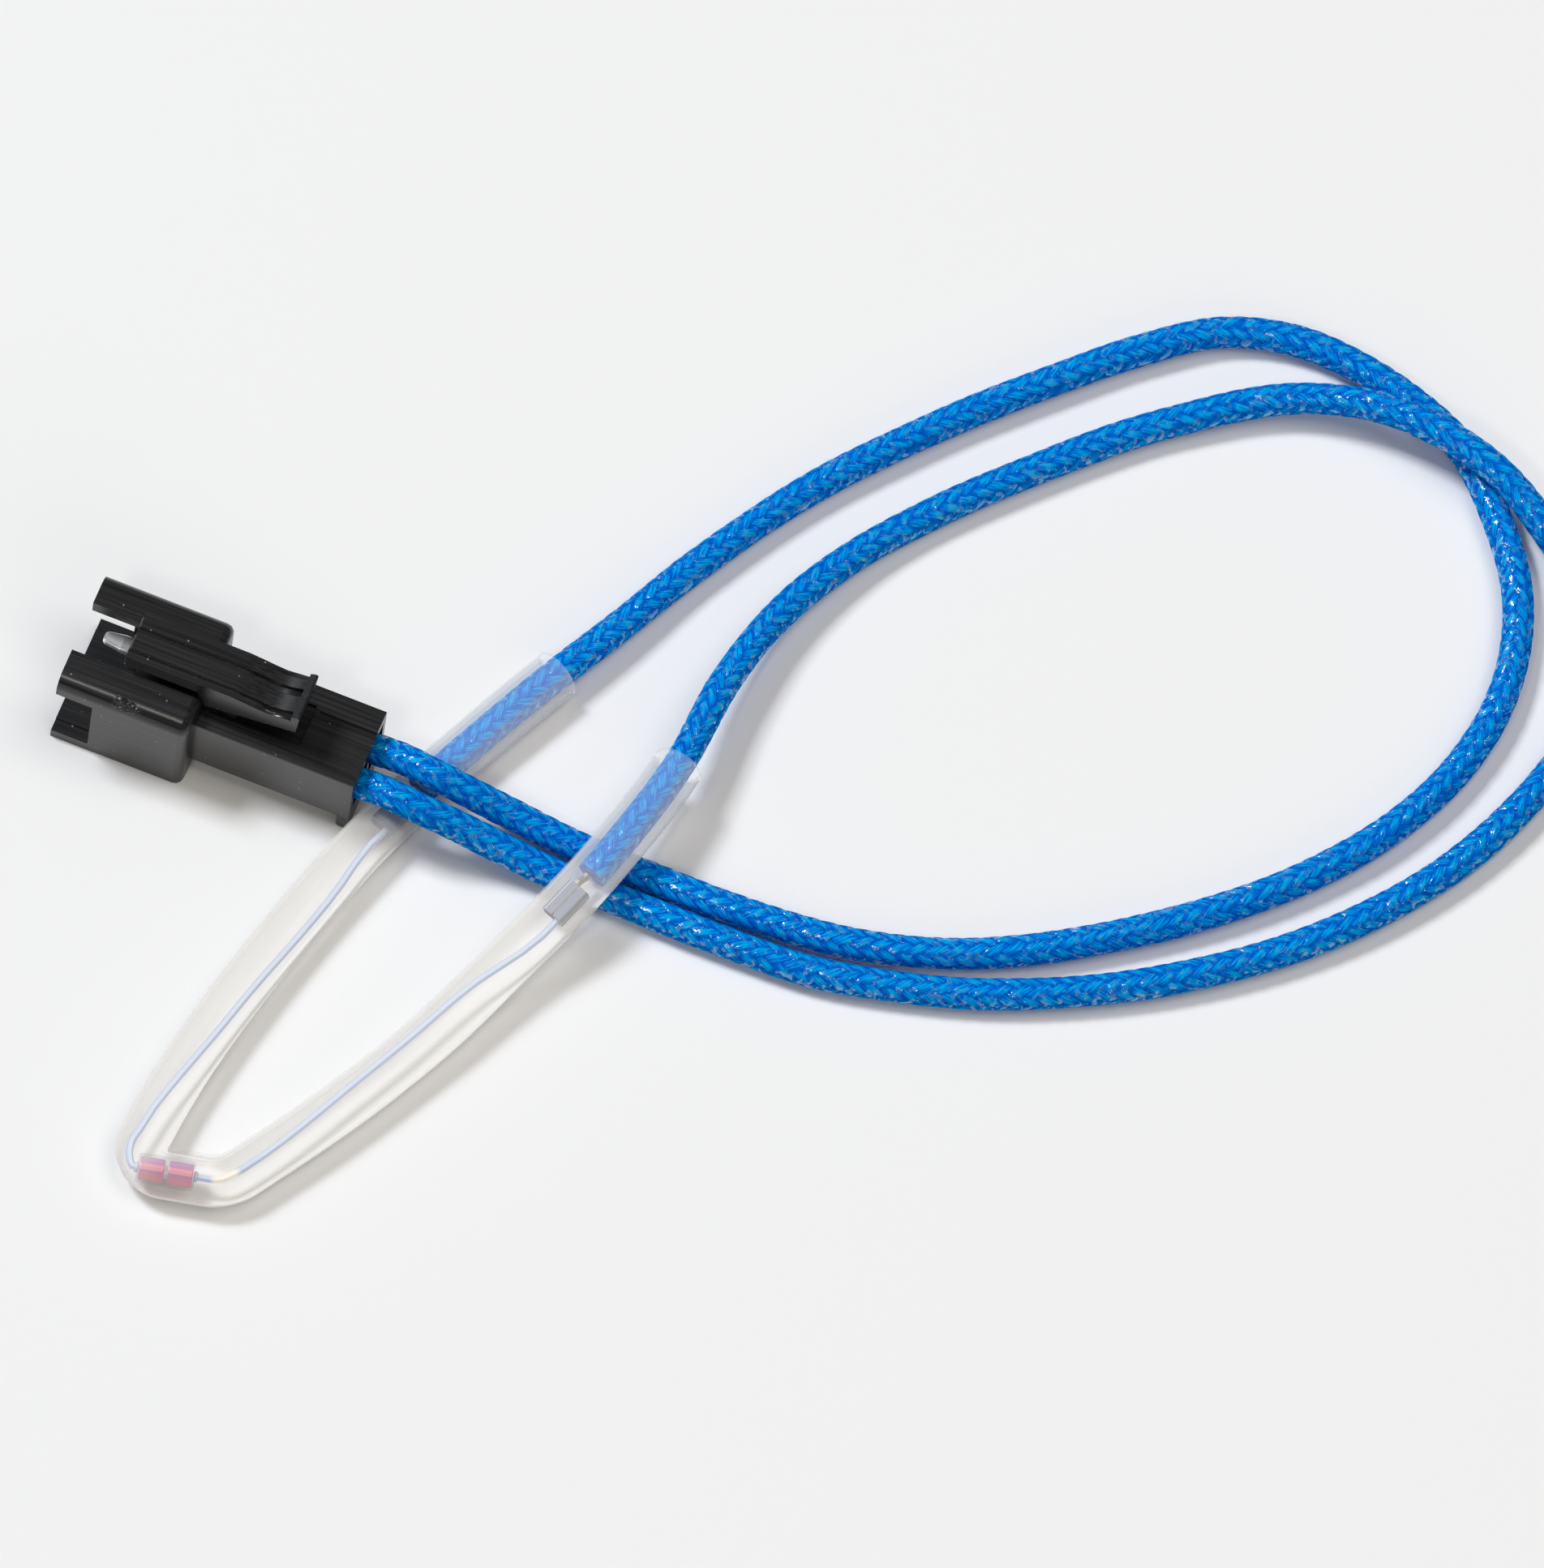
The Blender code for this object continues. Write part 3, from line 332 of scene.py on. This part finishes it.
def sides_along(points):
    """Two sides of a line that turn with it without twisting."""
    ahead = np.gradient(points, axis=0)
    ahead /= np.linalg.norm(ahead, axis=1)[:, None]
    side = np.cross([0, 0, 1], ahead[0])
    side /= np.linalg.norm(side)
    sides = [side]
    for direction in ahead[1:]:
        side = sides[-1] - direction * np.dot(sides[-1], direction)
        sides.append(side / np.linalg.norm(side))
    sides = np.array(sides)
    return sides, np.cross(ahead, sides)


def smoothed(values, reach):
    kernel = np.hanning(2 * reach + 1)
    kernel /= kernel.sum()
    padded = np.pad(values, ((reach, reach), (0, 0)), mode="edge")
    return np.stack([np.convolve(column, kernel, mode="valid") for column in padded.T], axis=1)


# Braided leads

def braid_heights(around, along):
    """Height of the braid above its lowest gap, and which way the strand on top runs."""
    first = BRAID_STRANDS * (around + along / BRAID_LAY)
    second = BRAID_STRANDS * (around - along / BRAID_LAY)

    def crown(position):
        across = (position - np.round(position)) * 2
        return BRAID_CROWN * np.sqrt(np.clip(1 - np.abs(across)**BRAID_FLATNESS, 0, 1))

    quarter = math.pi / 2
    over = np.cos(quarter * (np.round(first) + second - 0.5))
    under = -np.cos(quarter * (first + np.round(second) - 0.5))
    one = crown(first) + BRAID_WEAVE * over
    other = crown(second) + BRAID_WEAVE * under
    return np.maximum(one, other) + BRAID_WEAVE, np.where(one > other, 1.0, 0.0)


def add_lead(name, node, start, end, material):
    """A lead along the thread from start to end, with its weave in relief."""
    count = int(abs(end - start) / BRAID_RING_SPACING)
    marks = np.linspace(start, end, count)
    points = THREAD.many(marks)
    points[:, 2] = np.maximum(points[:, 2], LEAD_DIAMETER / 2 + TABLE_GAP)
    points = smoothed(points, LEAD_SMOOTHING)
    side, other = sides_along(points)
    turns = np.arange(BRAID_SIDES) / BRAID_SIDES
    along = np.abs(marks - start)[:, None]
    # The strands wander a little, and the lead is nowhere quite round.
    wander = 0.04 * np.sin(along * 0.9 + 1.3) + 0.03 * np.sin(along * 2.3 + turns * 6.28)
    height, upper = braid_heights(turns[None, :] + wander * 0.15,
                                  along + 0.12 * np.sin(along * 0.37))
    radius = LEAD_DIAMETER / 2 + (height - BRAID_CROWN - 2 * BRAID_WEAVE) * BRAID_SHARE
    radius = radius * (1 + 0.012 * np.sin(along * 0.6 + turns * 6.28 * 2))
    radius = np.minimum(radius, LEAD_DIAMETER / 2 + 0.01)
    angle = turns * 2 * math.pi
    rings = (points[:, None, :] + side[:, None, :] * (radius * np.cos(angle))[:, :, None]
             + other[:, None, :] * (radius * np.sin(angle))[:, :, None])
    uv = np.stack([np.broadcast_to(turns[None, :], radius.shape),
                   np.broadcast_to(along, radius.shape)], axis=2)
    mesh = grid_mesh(name, rings, uv=uv)
    for label, values in (("strand_way", upper), ("strand_height", height / height.max())):
        store = mesh.attributes.new(label, "FLOAT", "POINT")
        store.data.foreach_set("value", values.astype(np.float32).ravel())
    lead = add_piece(name, mesh, material, "braid", node)


# Materials

def new_material(name):
    made = bpy.data.materials.new(name)
    made.use_nodes = True
    tree = made.node_tree
    return made, tree.nodes, tree.links, tree.nodes["Principled BSDF"]


def set_inputs(node, **values):
    for label, value in values.items():
        node.inputs[label.replace("_", " ")].default_value = value


def attribute(nodes, name):
    node = nodes.new("ShaderNodeAttribute")
    node.attribute_name = name
    return node.outputs["Fac"]


def maths(nodes, links, operation, *values):
    node = nodes.new("ShaderNodeMath")
    node.operation = operation
    for socket, value in zip(node.inputs, values):
        if isinstance(value, (int, float)):
            socket.default_value = value
        else:
            links.new(value, socket)
    return node.outputs[0]


def mapped(nodes, links, source, start, end, first=0.0, last=1.0):
    """The source's run from start to end, spread from first to last and held there."""
    node = nodes.new("ShaderNodeMapRange")
    set_inputs(node, From_Min=start, From_Max=end, To_Min=first, To_Max=last)
    links.new(source, node.inputs["Value"])
    return node.outputs[0]


def ramp(nodes, links, source, *stops):
    """A colour ramp through stops of a place and a colour, with the two outer ones first."""
    node = nodes.new("ShaderNodeValToRGB")
    elements = node.color_ramp.elements
    for element, (place, colour) in zip(elements, stops[:2]):
        element.position, element.color = place, (*colour, 1)
    for place, colour in stops[2:]:
        elements.new(place).color = (*colour, 1)
    links.new(source, node.inputs[0])
    return node.outputs[0]


def mixed(nodes, links, share, first, second):
    node = nodes.new("ShaderNodeMix")
    node.data_type = "RGBA"
    links.new(share, node.inputs[0])
    for socket, value in ((node.inputs[6], first), (node.inputs[7], second)):
        if isinstance(value, tuple):
            socket.default_value = (*value, 1)
        else:
            links.new(value, socket)
    return node.outputs[2]


def noise(nodes, links, place, scale, detail):
    node = nodes.new("ShaderNodeTexNoise")
    set_inputs(node, Scale=scale, Detail=detail)
    links.new(place, node.inputs["Vector"])
    return node.outputs[0]


def braid_material():
    made, nodes, links, shader = new_material("braid_varnished")
    set_inputs(shader, Roughness=0.5, Specular_IOR_Level=0.0, Coat_Roughness=0.1, Coat_IOR=2.3)
    uv = nodes.new("ShaderNodeUVMap")
    uv.uv_map = "along"
    split = nodes.new("ShaderNodeSeparateXYZ")
    links.new(uv.outputs[0], split.inputs[0])
    way = attribute(nodes, "strand_way")
    rise = attribute(nodes, "strand_height")

    # Fine threads run along whichever strand is on top.
    turn = maths(nodes, links, "MULTIPLY", split.outputs[0], BRAID_STRANDS)
    lay = maths(nodes, links, "MULTIPLY", split.outputs[1], BRAID_STRANDS / BRAID_LAY)
    signed = maths(nodes, links, "MULTIPLY_ADD", way, 2.0, -1.0)
    across = maths(nodes, links, "MULTIPLY_ADD", lay, signed, turn)
    place = nodes.new("ShaderNodeCombineXYZ")
    links.new(maths(nodes, links, "MULTIPLY", across, THREADS_PER_STRAND), place.inputs[0])
    links.new(maths(nodes, links, "MULTIPLY", split.outputs[1], THREAD_STRETCH), place.inputs[1])
    threads = noise(nodes, links, place.outputs[0], 1.0, 2.0)

    # The lacquer lies thick in patches, and those glint; their colour is also painted paler, a
    # painted highlight that makes the glints cyan-white.
    object_place = nodes.new("ShaderNodeTexCoord").outputs["Object"]
    blotch = noise(nodes, links, object_place, 2500.0, 3.0)
    patches = mapped(nodes, links, blotch, 0.545, 0.585, 0.02, 1.0)
    links.new(patches, shader.inputs["Coat Weight"])
    # Painted shade and highlight: the colour darkens into the gaps between strands and pales on
    # their crowns, by the strand's height.
    tone = maths(nodes, links, "MULTIPLY", rise, 0.50)
    tone = maths(nodes, links, "MULTIPLY_ADD", threads, 0.9, tone)
    # Painted highlight: paler colour in the glinting patches.
    tone = maths(nodes, links, "MULTIPLY_ADD", patches, 0.07, tone)
    colour = ramp(nodes, links, tone, (0.3, (0.0, 0.014, 0.21)), (1.0, (0.0, 0.38, 0.80)),
                  (0.66, (0.0, 0.078, 0.51)), (0.84, (0.0, 0.13, 0.63)))
    links.new(colour, shader.inputs["Base Color"])

    bump = nodes.new("ShaderNodeBump")
    set_inputs(bump, Strength=0.8, Distance=0.00005)
    links.new(maths(nodes, links, "ADD", blotch, threads), bump.inputs["Height"])
    links.new(bump.outputs[0], shader.inputs["Normal"])
    links.new(bump.outputs[0], shader.inputs["Coat Normal"])
    return made


def sleeve_material():
    made, nodes, links, shader = new_material("sleeve_milky")
    set_inputs(shader, Roughness=0.35, IOR=1.32, Specular_IOR_Level=0.25)
    # Painted light: over a jacket the wall's colour is painted blue, standing in for the jacket's
    # blue glowing through it.
    painted_jacket_glow = mixed(nodes, links, attribute(nodes, "over_jacket"),
                 (0.98, 0.96, 0.92), (0.42, 0.72, 1.0))
    links.new(painted_jacket_glow, shader.inputs["Base Color"])
    # It stops a different share of the light than of the view.
    shadow_ray = nodes.new("ShaderNodeLightPath").outputs["Is Shadow Ray"]
    stopped = nodes.new("ShaderNodeMapRange")
    links.new(shadow_ray, stopped.inputs["Value"])
    links.new(attribute(nodes, "cloud"), stopped.inputs["To Min"])
    links.new(attribute(nodes, "shade"), stopped.inputs["To Max"])
    links.new(stopped.outputs[0], shader.inputs["Alpha"])
    return made


def plain_material(name, colour, roughness, metallic=0.0, **more):
    made, _, _, shader = new_material(name)
    set_inputs(shader, Base_Color=(*colour, 1), Roughness=roughness, Metallic=metallic, **more)
    return made


def housing_material():
    made, nodes, links, shader = new_material("housing_nylon")
    set_inputs(shader, Specular_IOR_Level=0.62)
    place = nodes.new("ShaderNodeTexCoord").outputs["Object"]

    def noise_along(scale, detail):
        stretch = nodes.new("ShaderNodeMapping")
        stretch.inputs["Scale"].default_value = scale
        links.new(place, stretch.inputs["Vector"])
        return noise(nodes, links, stretch.outputs[0], 1.0, detail)

    # Flow lines run the length of the moulding.
    lines = noise_along((120, 9000, 9000), 3.0)
    body = ramp(nodes, links, lines, (0.36, (0.006, 0.006, 0.0065)), (0.70, (0.024, 0.024, 0.0245)))

    # Dust: one small speck in a few of the cells
    cells = nodes.new("ShaderNodeTexVoronoi")
    cells.inputs["Scale"].default_value = 1700.0
    links.new(place, cells.inputs["Vector"])
    specks = ramp(nodes, links, cells.outputs["Distance"], (0.07, (1, 1, 1)), (0.12, (0, 0, 0)))
    split = nodes.new("ShaderNodeSeparateColor")
    links.new(cells.outputs["Color"], split.inputs[0])
    chosen = ramp(nodes, links, split.outputs[0], (0.62, (0, 0, 0)), (0.66, (1, 1, 1)))
    dust = maths(nodes, links, "MULTIPLY", specks, chosen)
    links.new(mixed(nodes, links, dust, body, (0.22, 0.22, 0.22)), shader.inputs["Base Color"])

    # Gate scar on the near wing's rounded edge
    scar = nodes.new("ShaderNodeMapping")
    scar.vector_type = "TEXTURE"
    scar.inputs["Location"].default_value = [value * MM for value in GATE_SCAR_PLACE]
    scar.inputs["Scale"].default_value = [value * MM for value in GATE_SCAR_SIZE]
    links.new(place, scar.inputs["Vector"])
    reach = nodes.new("ShaderNodeVectorMath")
    reach.operation = "LENGTH"
    links.new(scar.outputs[0], reach.inputs[0])
    ragged = maths(nodes, links, "MULTIPLY_ADD", noise_along((3000, 3000, 3000), 2.0), 0.9,
                   reach.outputs["Value"])
    torn = mapped(nodes, links, ragged, 1.15, 1.3, 1.0, 0.0)
    rough = maths(nodes, links, "MULTIPLY_ADD", torn, -0.1, 0.28)
    links.new(rough, shader.inputs["Roughness"])

    fine = nodes.new("ShaderNodeBump")
    set_inputs(fine, Strength=0.12, Distance=0.00001)
    links.new(lines, fine.inputs["Height"])
    coarse = nodes.new("ShaderNodeBump")
    set_inputs(coarse, Distance=0.0004)
    links.new(torn, coarse.inputs["Strength"])
    links.new(noise_along((1400, 2600, 2600), 3.0), coarse.inputs["Height"])
    links.new(fine.outputs[0], coarse.inputs["Normal"])
    links.new(coarse.outputs[0], shader.inputs["Normal"])
    return made


def slug_material():
    """Red oxide skin with painted light in bands by the way it faces: painted pink reflection of
    the table below, a painted dark purple band, a painted salmon highlight and purple on top.
    """
    made, nodes, links, shader = new_material("slug_oxide_painted_bands")
    set_inputs(shader, Roughness=0.25, Metallic=0.1)
    facing = nodes.new("ShaderNodeNewGeometry")
    rise = nodes.new("ShaderNodeVectorMath")
    rise.operation = "DOT_PRODUCT"
    rise.inputs[1].default_value = SLUG_PAINTED_LIGHT_UP
    links.new(facing.outputs["Normal"], rise.inputs[0])
    share = mapped(nodes, links, rise.outputs["Value"], -1.0, 1.0)
    # Painted highlight and painted reflections: these colour bands follow the facing, not the
    # oxide.
    painted_light_bands = ramp(nodes, links, share, (0.28, (0.68, 0.08, 0.18)), (0.86, (0.56, 0.22, 0.46)),
                 (0.36, (0.40, 0.05, 0.26)), (0.48, (0.42, 0.06, 0.27)),
                 (0.55, (0.88, 0.22, 0.26)), (0.68, (0.88, 0.24, 0.28)),
                 (0.77, (0.52, 0.16, 0.40)))
    links.new(painted_light_bands, shader.inputs["Base Color"])
    return made


def bead_lead_material():
    """Blue lacquer with a painted highlight along the top, and a bare golden spot beside the bead
    painted near white as a painted glint.
    """
    made, nodes, links, shader = new_material("bead_lead")
    set_inputs(shader, Roughness=0.2)
    place = nodes.new("ShaderNodeTexCoord")
    from_middle = nodes.new("ShaderNodeVectorMath")
    from_middle.operation = "DISTANCE"
    from_middle.inputs[1].default_value = [value * MM for value in BARE_AND_GLINT_PLACE]
    links.new(place.outputs["Object"], from_middle.inputs[0])
    near = mapped(nodes, links, from_middle.outputs["Value"], BARE_AND_GLINT_REACH * MM,
                  (BARE_AND_GLINT_REACH + BARE_AND_GLINT_EASE) * MM, 1.0, 0.0)
    facing = nodes.new("ShaderNodeNewGeometry")
    split = nodes.new("ShaderNodeSeparateXYZ")
    links.new(facing.outputs["Normal"], split.inputs[0])
    # Painted highlight: the lacquer is painted paler where it faces up.
    painted_top_highlight = mapped(nodes, links, split.outputs[2], 0.62, 0.88)
    lacquer = mixed(nodes, links, painted_top_highlight, (0.40, 0.49, 0.72), (0.58, 0.65, 0.82))
    # The bare spot's colour is its metal, painted near white as a painted glint.
    colour = mixed(nodes, links, near, lacquer, (1.0, 0.93, 0.80))
    links.new(colour, shader.inputs["Base Color"])
    return made


# Sleeve

def add_sleeve(material):
    """The folded tube, with how cloudy it is at each point."""
    marks = np.concatenate((
        [SLEEVE_START], np.arange(SLEEVE_START + SLEEVE_RIM, FOLD_START - 1, SLEEVE_RING_SPACING),
        np.arange(FOLD_START - 1, BEND_END + 0.5, SLEEVE_FOLD_SPACING),
        np.arange(BEND_END + 0.5, SLEEVE_END - 1.5 * SLEEVE_RIM, SLEEVE_RING_SPACING),
        [SLEEVE_END - SLEEVE_RIM, SLEEVE_END]))
    points = THREAD.many(marks)
    ahead = THREAD.many(marks + 0.12) - THREAD.many(marks - 0.12)
    ahead /= np.linalg.norm(ahead, axis=1)[:, None]
    left = np.stack([-ahead[:, 1], ahead[:, 0], np.zeros(len(marks))], axis=1)
    left /= np.linalg.norm(left, axis=1)[:, None]
    up = np.cross(ahead, left)
    angle = np.arange(SLEEVE_SIDES) / SLEEVE_SIDES * 2 * math.pi
    into_fold = np.clip(np.minimum(marks - FOLD_START, FOLD_END - marks) / FOLD_EASE, 0, 1)
    uneven = 1 + 0.006 * np.sin(marks * 0.7)[:, None] * np.cos(2 * angle)[None, :]
    walls = []
    for base, stretch in ((SLEEVE_DIAMETER / 2, 0.0), (SLEEVE_BORE / 2, FOLD_STRETCH)):
        spread = into_fold[:, None] * np.clip(-np.cos(angle), 0, 1)[None, :]
        reach = base * uneven + stretch * spread
        walls.append(points[:, None, :] + left[:, None, :] * (reach * np.cos(angle))[:, :, None]
                     + up[:, None, :] * (reach * np.sin(angle))[:, :, None])
    outer, inner = walls
    loop = np.concatenate((outer, inner[::-1], outer[:1]))
    mesh = grid_mesh("sleeve_tube", loop, closed_ends=False)
    # The sleeve looks clearer where it clings to the jackets and the bead.
    middle = (FOLD_END + BEND_END) / 2 - 1.0
    upper_jacket = SLEEVE_START + JACKET_IN_UPPER_SLEEVE
    lower_jacket = SLEEVE_END - JACKET_IN_LOWER_SLEEVE
    stops = [(SLEEVE_START, SLEEVE_RIM_CLOUD), (SLEEVE_START + SLEEVE_RIM, JACKET_CLOUD),
             (upper_jacket - 0.6, JACKET_CLOUD), (upper_jacket + 1.2, FERRULE_CLOUD),
             (upper_jacket + 6.0, SLEEVE_CLOUD), (middle - 2.5, SLEEVE_CLOUD),
             (middle - 1.7, BEAD_CLOUD), (middle + 1.5, BEAD_CLOUD),
             (BEND_END + 1.5, FERRULE_CLOUD), (BEND_END + 4.0, SLEEVE_CLOUD),
             (lower_jacket - 6.0, SLEEVE_CLOUD), (lower_jacket - 1.2, FERRULE_CLOUD),
             (lower_jacket + 0.6, JACKET_CLOUD), (SLEEVE_END - SLEEVE_RIM, JACKET_CLOUD),
             (SLEEVE_END, SLEEVE_RIM_CLOUD)]
    above = np.interp(marks, [along for along, _ in stops], [value for _, value in stops])[:, None]
    underneath = np.clip(-np.sin(angle) / 0.15, 0, 1)[None, :]
    outer_cloud = above + (OUTER_UNDER_CLOUD - above) * underneath
    outer_shade = OUTER_TOP_SHADE + (OUTER_UNDER_SHADE - OUTER_TOP_SHADE) * underneath
    # Where the wall's top lies over a jacket, which gets the painted blue.
    along_jacket = np.interp(marks, [upper_jacket - 0.4, upper_jacket + 0.4, lower_jacket - 0.4,
                                     lower_jacket + 0.4], [1, 0, 0, 1])[:, None]
    over_jacket = along_jacket * np.clip((np.sin(angle) - 0.78) / 0.15, 0, 1)[None, :]
    for label, outside, inside in (("cloud", outer_cloud, INNER_CLOUD),
                                   ("shade", outer_shade, INNER_SHADE),
                                   ("over_jacket", over_jacket, 0.0)):
        outside = np.broadcast_to(outside, outer_cloud.shape)
        values = np.concatenate((outside, np.full(outside.shape, inside), outside[:1]))
        store = mesh.attributes.new(label, "FLOAT", "POINT")
        store.data.foreach_set("value", values.ravel().astype(np.float32))
    bm = bmesh.new()
    bm.from_mesh(mesh)
    bmesh.ops.remove_doubles(bm, verts=bm.verts, dist=SAME_PLACE)
    bmesh.ops.recalc_face_normals(bm, faces=bm.faces)
    bm.to_mesh(mesh)
    bm.free()
    normals = []
    for vert in mesh.vertices:
        tilt = max(-1.0, min(1.0, vert.normal.z / SLEEVE_UPRIGHT_EASE))
        normals.append((vert.normal + Vector((0, 0, SLEEVE_UPRIGHT * tilt))).normalized())
    mesh.normals_split_custom_set_from_vertices(normals)
    add_piece("sleeve_tube", mesh, material, "sleeve", "sleeve")


# Housing

def add_housing(material):
    """A copy of the moulding with its outer edges broken, as a moulded edge is."""
    mesh = frame["nodes"]["connector_housing"].data.copy()
    mesh.materials.clear()
    housing = add_piece("housing_moulding", mesh, material, "housing", "connector_housing")
    bm = bmesh.new()
    bm.from_mesh(mesh)
    bmesh.ops.remove_doubles(bm, verts=bm.verts, dist=SAME_PLACE)
    bmesh.ops.dissolve_limit(bm, angle_limit=math.radians(1), verts=bm.verts, edges=bm.edges)
    broken = bm.edges.layers.float.new("bevel_weight_edge")
    for edge in bm.edges:
        turn = edge.calc_face_angle_signed(0)
        middle = (edge.verts[0].co + edge.verts[1].co) / 2
        in_tail = middle.x > TAIL_START * MM and middle.z > TAIL_FLOOR * MM
        if turn > SHARP_TURN or (turn < -SHARP_TURN and not in_tail):
            edge[broken] = 1
    bm.to_mesh(mesh)
    bm.free()
    edges = housing.modifiers.new("broken_edges", "BEVEL")
    edges.width = EDGE_BREAK * MM
    edges.segments = 2
    edges.limit_method = "WEIGHT"
    mesh.shade_smooth()
    mesh.set_sharp_from_angle(angle=SHARP_TURN)
    flats = housing.modifiers.new("flat_faces", "WEIGHTED_NORMAL")
    flats.weight = 100
    flats.keep_sharp = True


# Glass

def add_glass(material):
    """The bead's outer skin alone, since the bore's skin lies on the slugs."""
    mesh = frame["nodes"]["glass_envelope"].data.copy()
    mesh.materials.clear()
    axis = (Vector(OPENING_CORNER) - Vector(FOLD_CORNER)).normalized()
    bm = bmesh.new()
    bm.from_mesh(mesh)
    middle = sum((vert.co for vert in bm.verts), Vector()) / len(bm.verts)
    bore = []
    for face in bm.faces:
        away = face.calc_center_median() - middle
        if (away - axis * away.dot(axis)).length < GLASS_BORE_RADIUS * MM:
            bore.append(face)
    bmesh.ops.delete(bm, geom=bore, context="FACES")
    bm.to_mesh(mesh)
    bm.free()
    mesh.shade_smooth()
    add_piece("bead_glass", mesh, material, "glass", "glass_envelope")


# Table and light

def add_stage():
    bm = bmesh.new()
    bmesh.ops.create_grid(bm, x_segments=1, y_segments=1, size=TABLE_HALF_WIDTH)
    mesh = bpy.data.meshes.new("table")
    bm.to_mesh(mesh)
    bm.free()
    table = bpy.data.objects.new("table", mesh)
    bpy.context.scene.collection.objects.link(table)
    mesh.materials.append(plain_material("table_white", TABLE_COLOUR, 0.3))

    world = bpy.data.worlds.new("studio")
    bpy.context.scene.world = world
    world.use_nodes = True
    background = world.node_tree.nodes["Background"]
    set_inputs(background, Color=(1, 1, 1, 1), Strength=WORLD_STRENGTH)


def add_light(name, direction, distance, size, power, colour, mirrored):
    data = bpy.data.lights.new(name, "AREA")
    data.shape = "SQUARE"
    data.size = size
    data.energy = power
    data.color = colour
    light = bpy.data.objects.new(name, data)
    light.visible_glossy = mirrored
    bpy.context.scene.collection.objects.link(light)
    direction = Vector(direction).normalized()
    target = Vector(CAMERA_TARGET)
    light.location = target + direction * distance
    light.rotation_euler = direction.to_track_quat("Z", "Y").to_euler()


def main():
    add_camera()
    braid = braid_material()
    add_lead("braided_lead_1", "lead_1", 0.0, SLEEVE_START + JACKET_IN_UPPER_SLEEVE, braid)
    add_lead("braided_lead_2", "lead_2", THREAD.length, SLEEVE_END - JACKET_IN_LOWER_SLEEVE, braid)
    add_sleeve(sleeve_material())
    add_housing(housing_material())
    add_glass(plain_material("bead_glass", (0.84, 0.86, 0.93), 0.05, Alpha=0.12))

    looks = {
        "tin": plain_material("tin_plate", (0.90, 0.89, 0.87), 0.34, 1.0),
        "copper": plain_material("tinned_strands", (0.82, 0.72, 0.60), 0.3, 1.0),
        "lead_wire": bead_lead_material(),
        "slug": slug_material(),
        "chip": plain_material("chip_pale", (0.88, 0.84, 0.86), 0.5),
    }
    ferrule = plain_material("ferrule_plate", (0.19, 0.205, 0.255), 0.45, 0.9)
    for entry in frame["record"]["subparts"]:
        look = looks.get(entry["material_slot"])
        if entry["node"].startswith("splice_ferrule"):
            look = ferrule
        if look:
            for slot in frame["nodes"][entry["node"]].material_slots:
                slot.material = look

    add_stage()
    for lamp in LAMPS:
        add_light(*lamp)


main()
bpy.context.scene.view_settings.view_transform = "Standard"
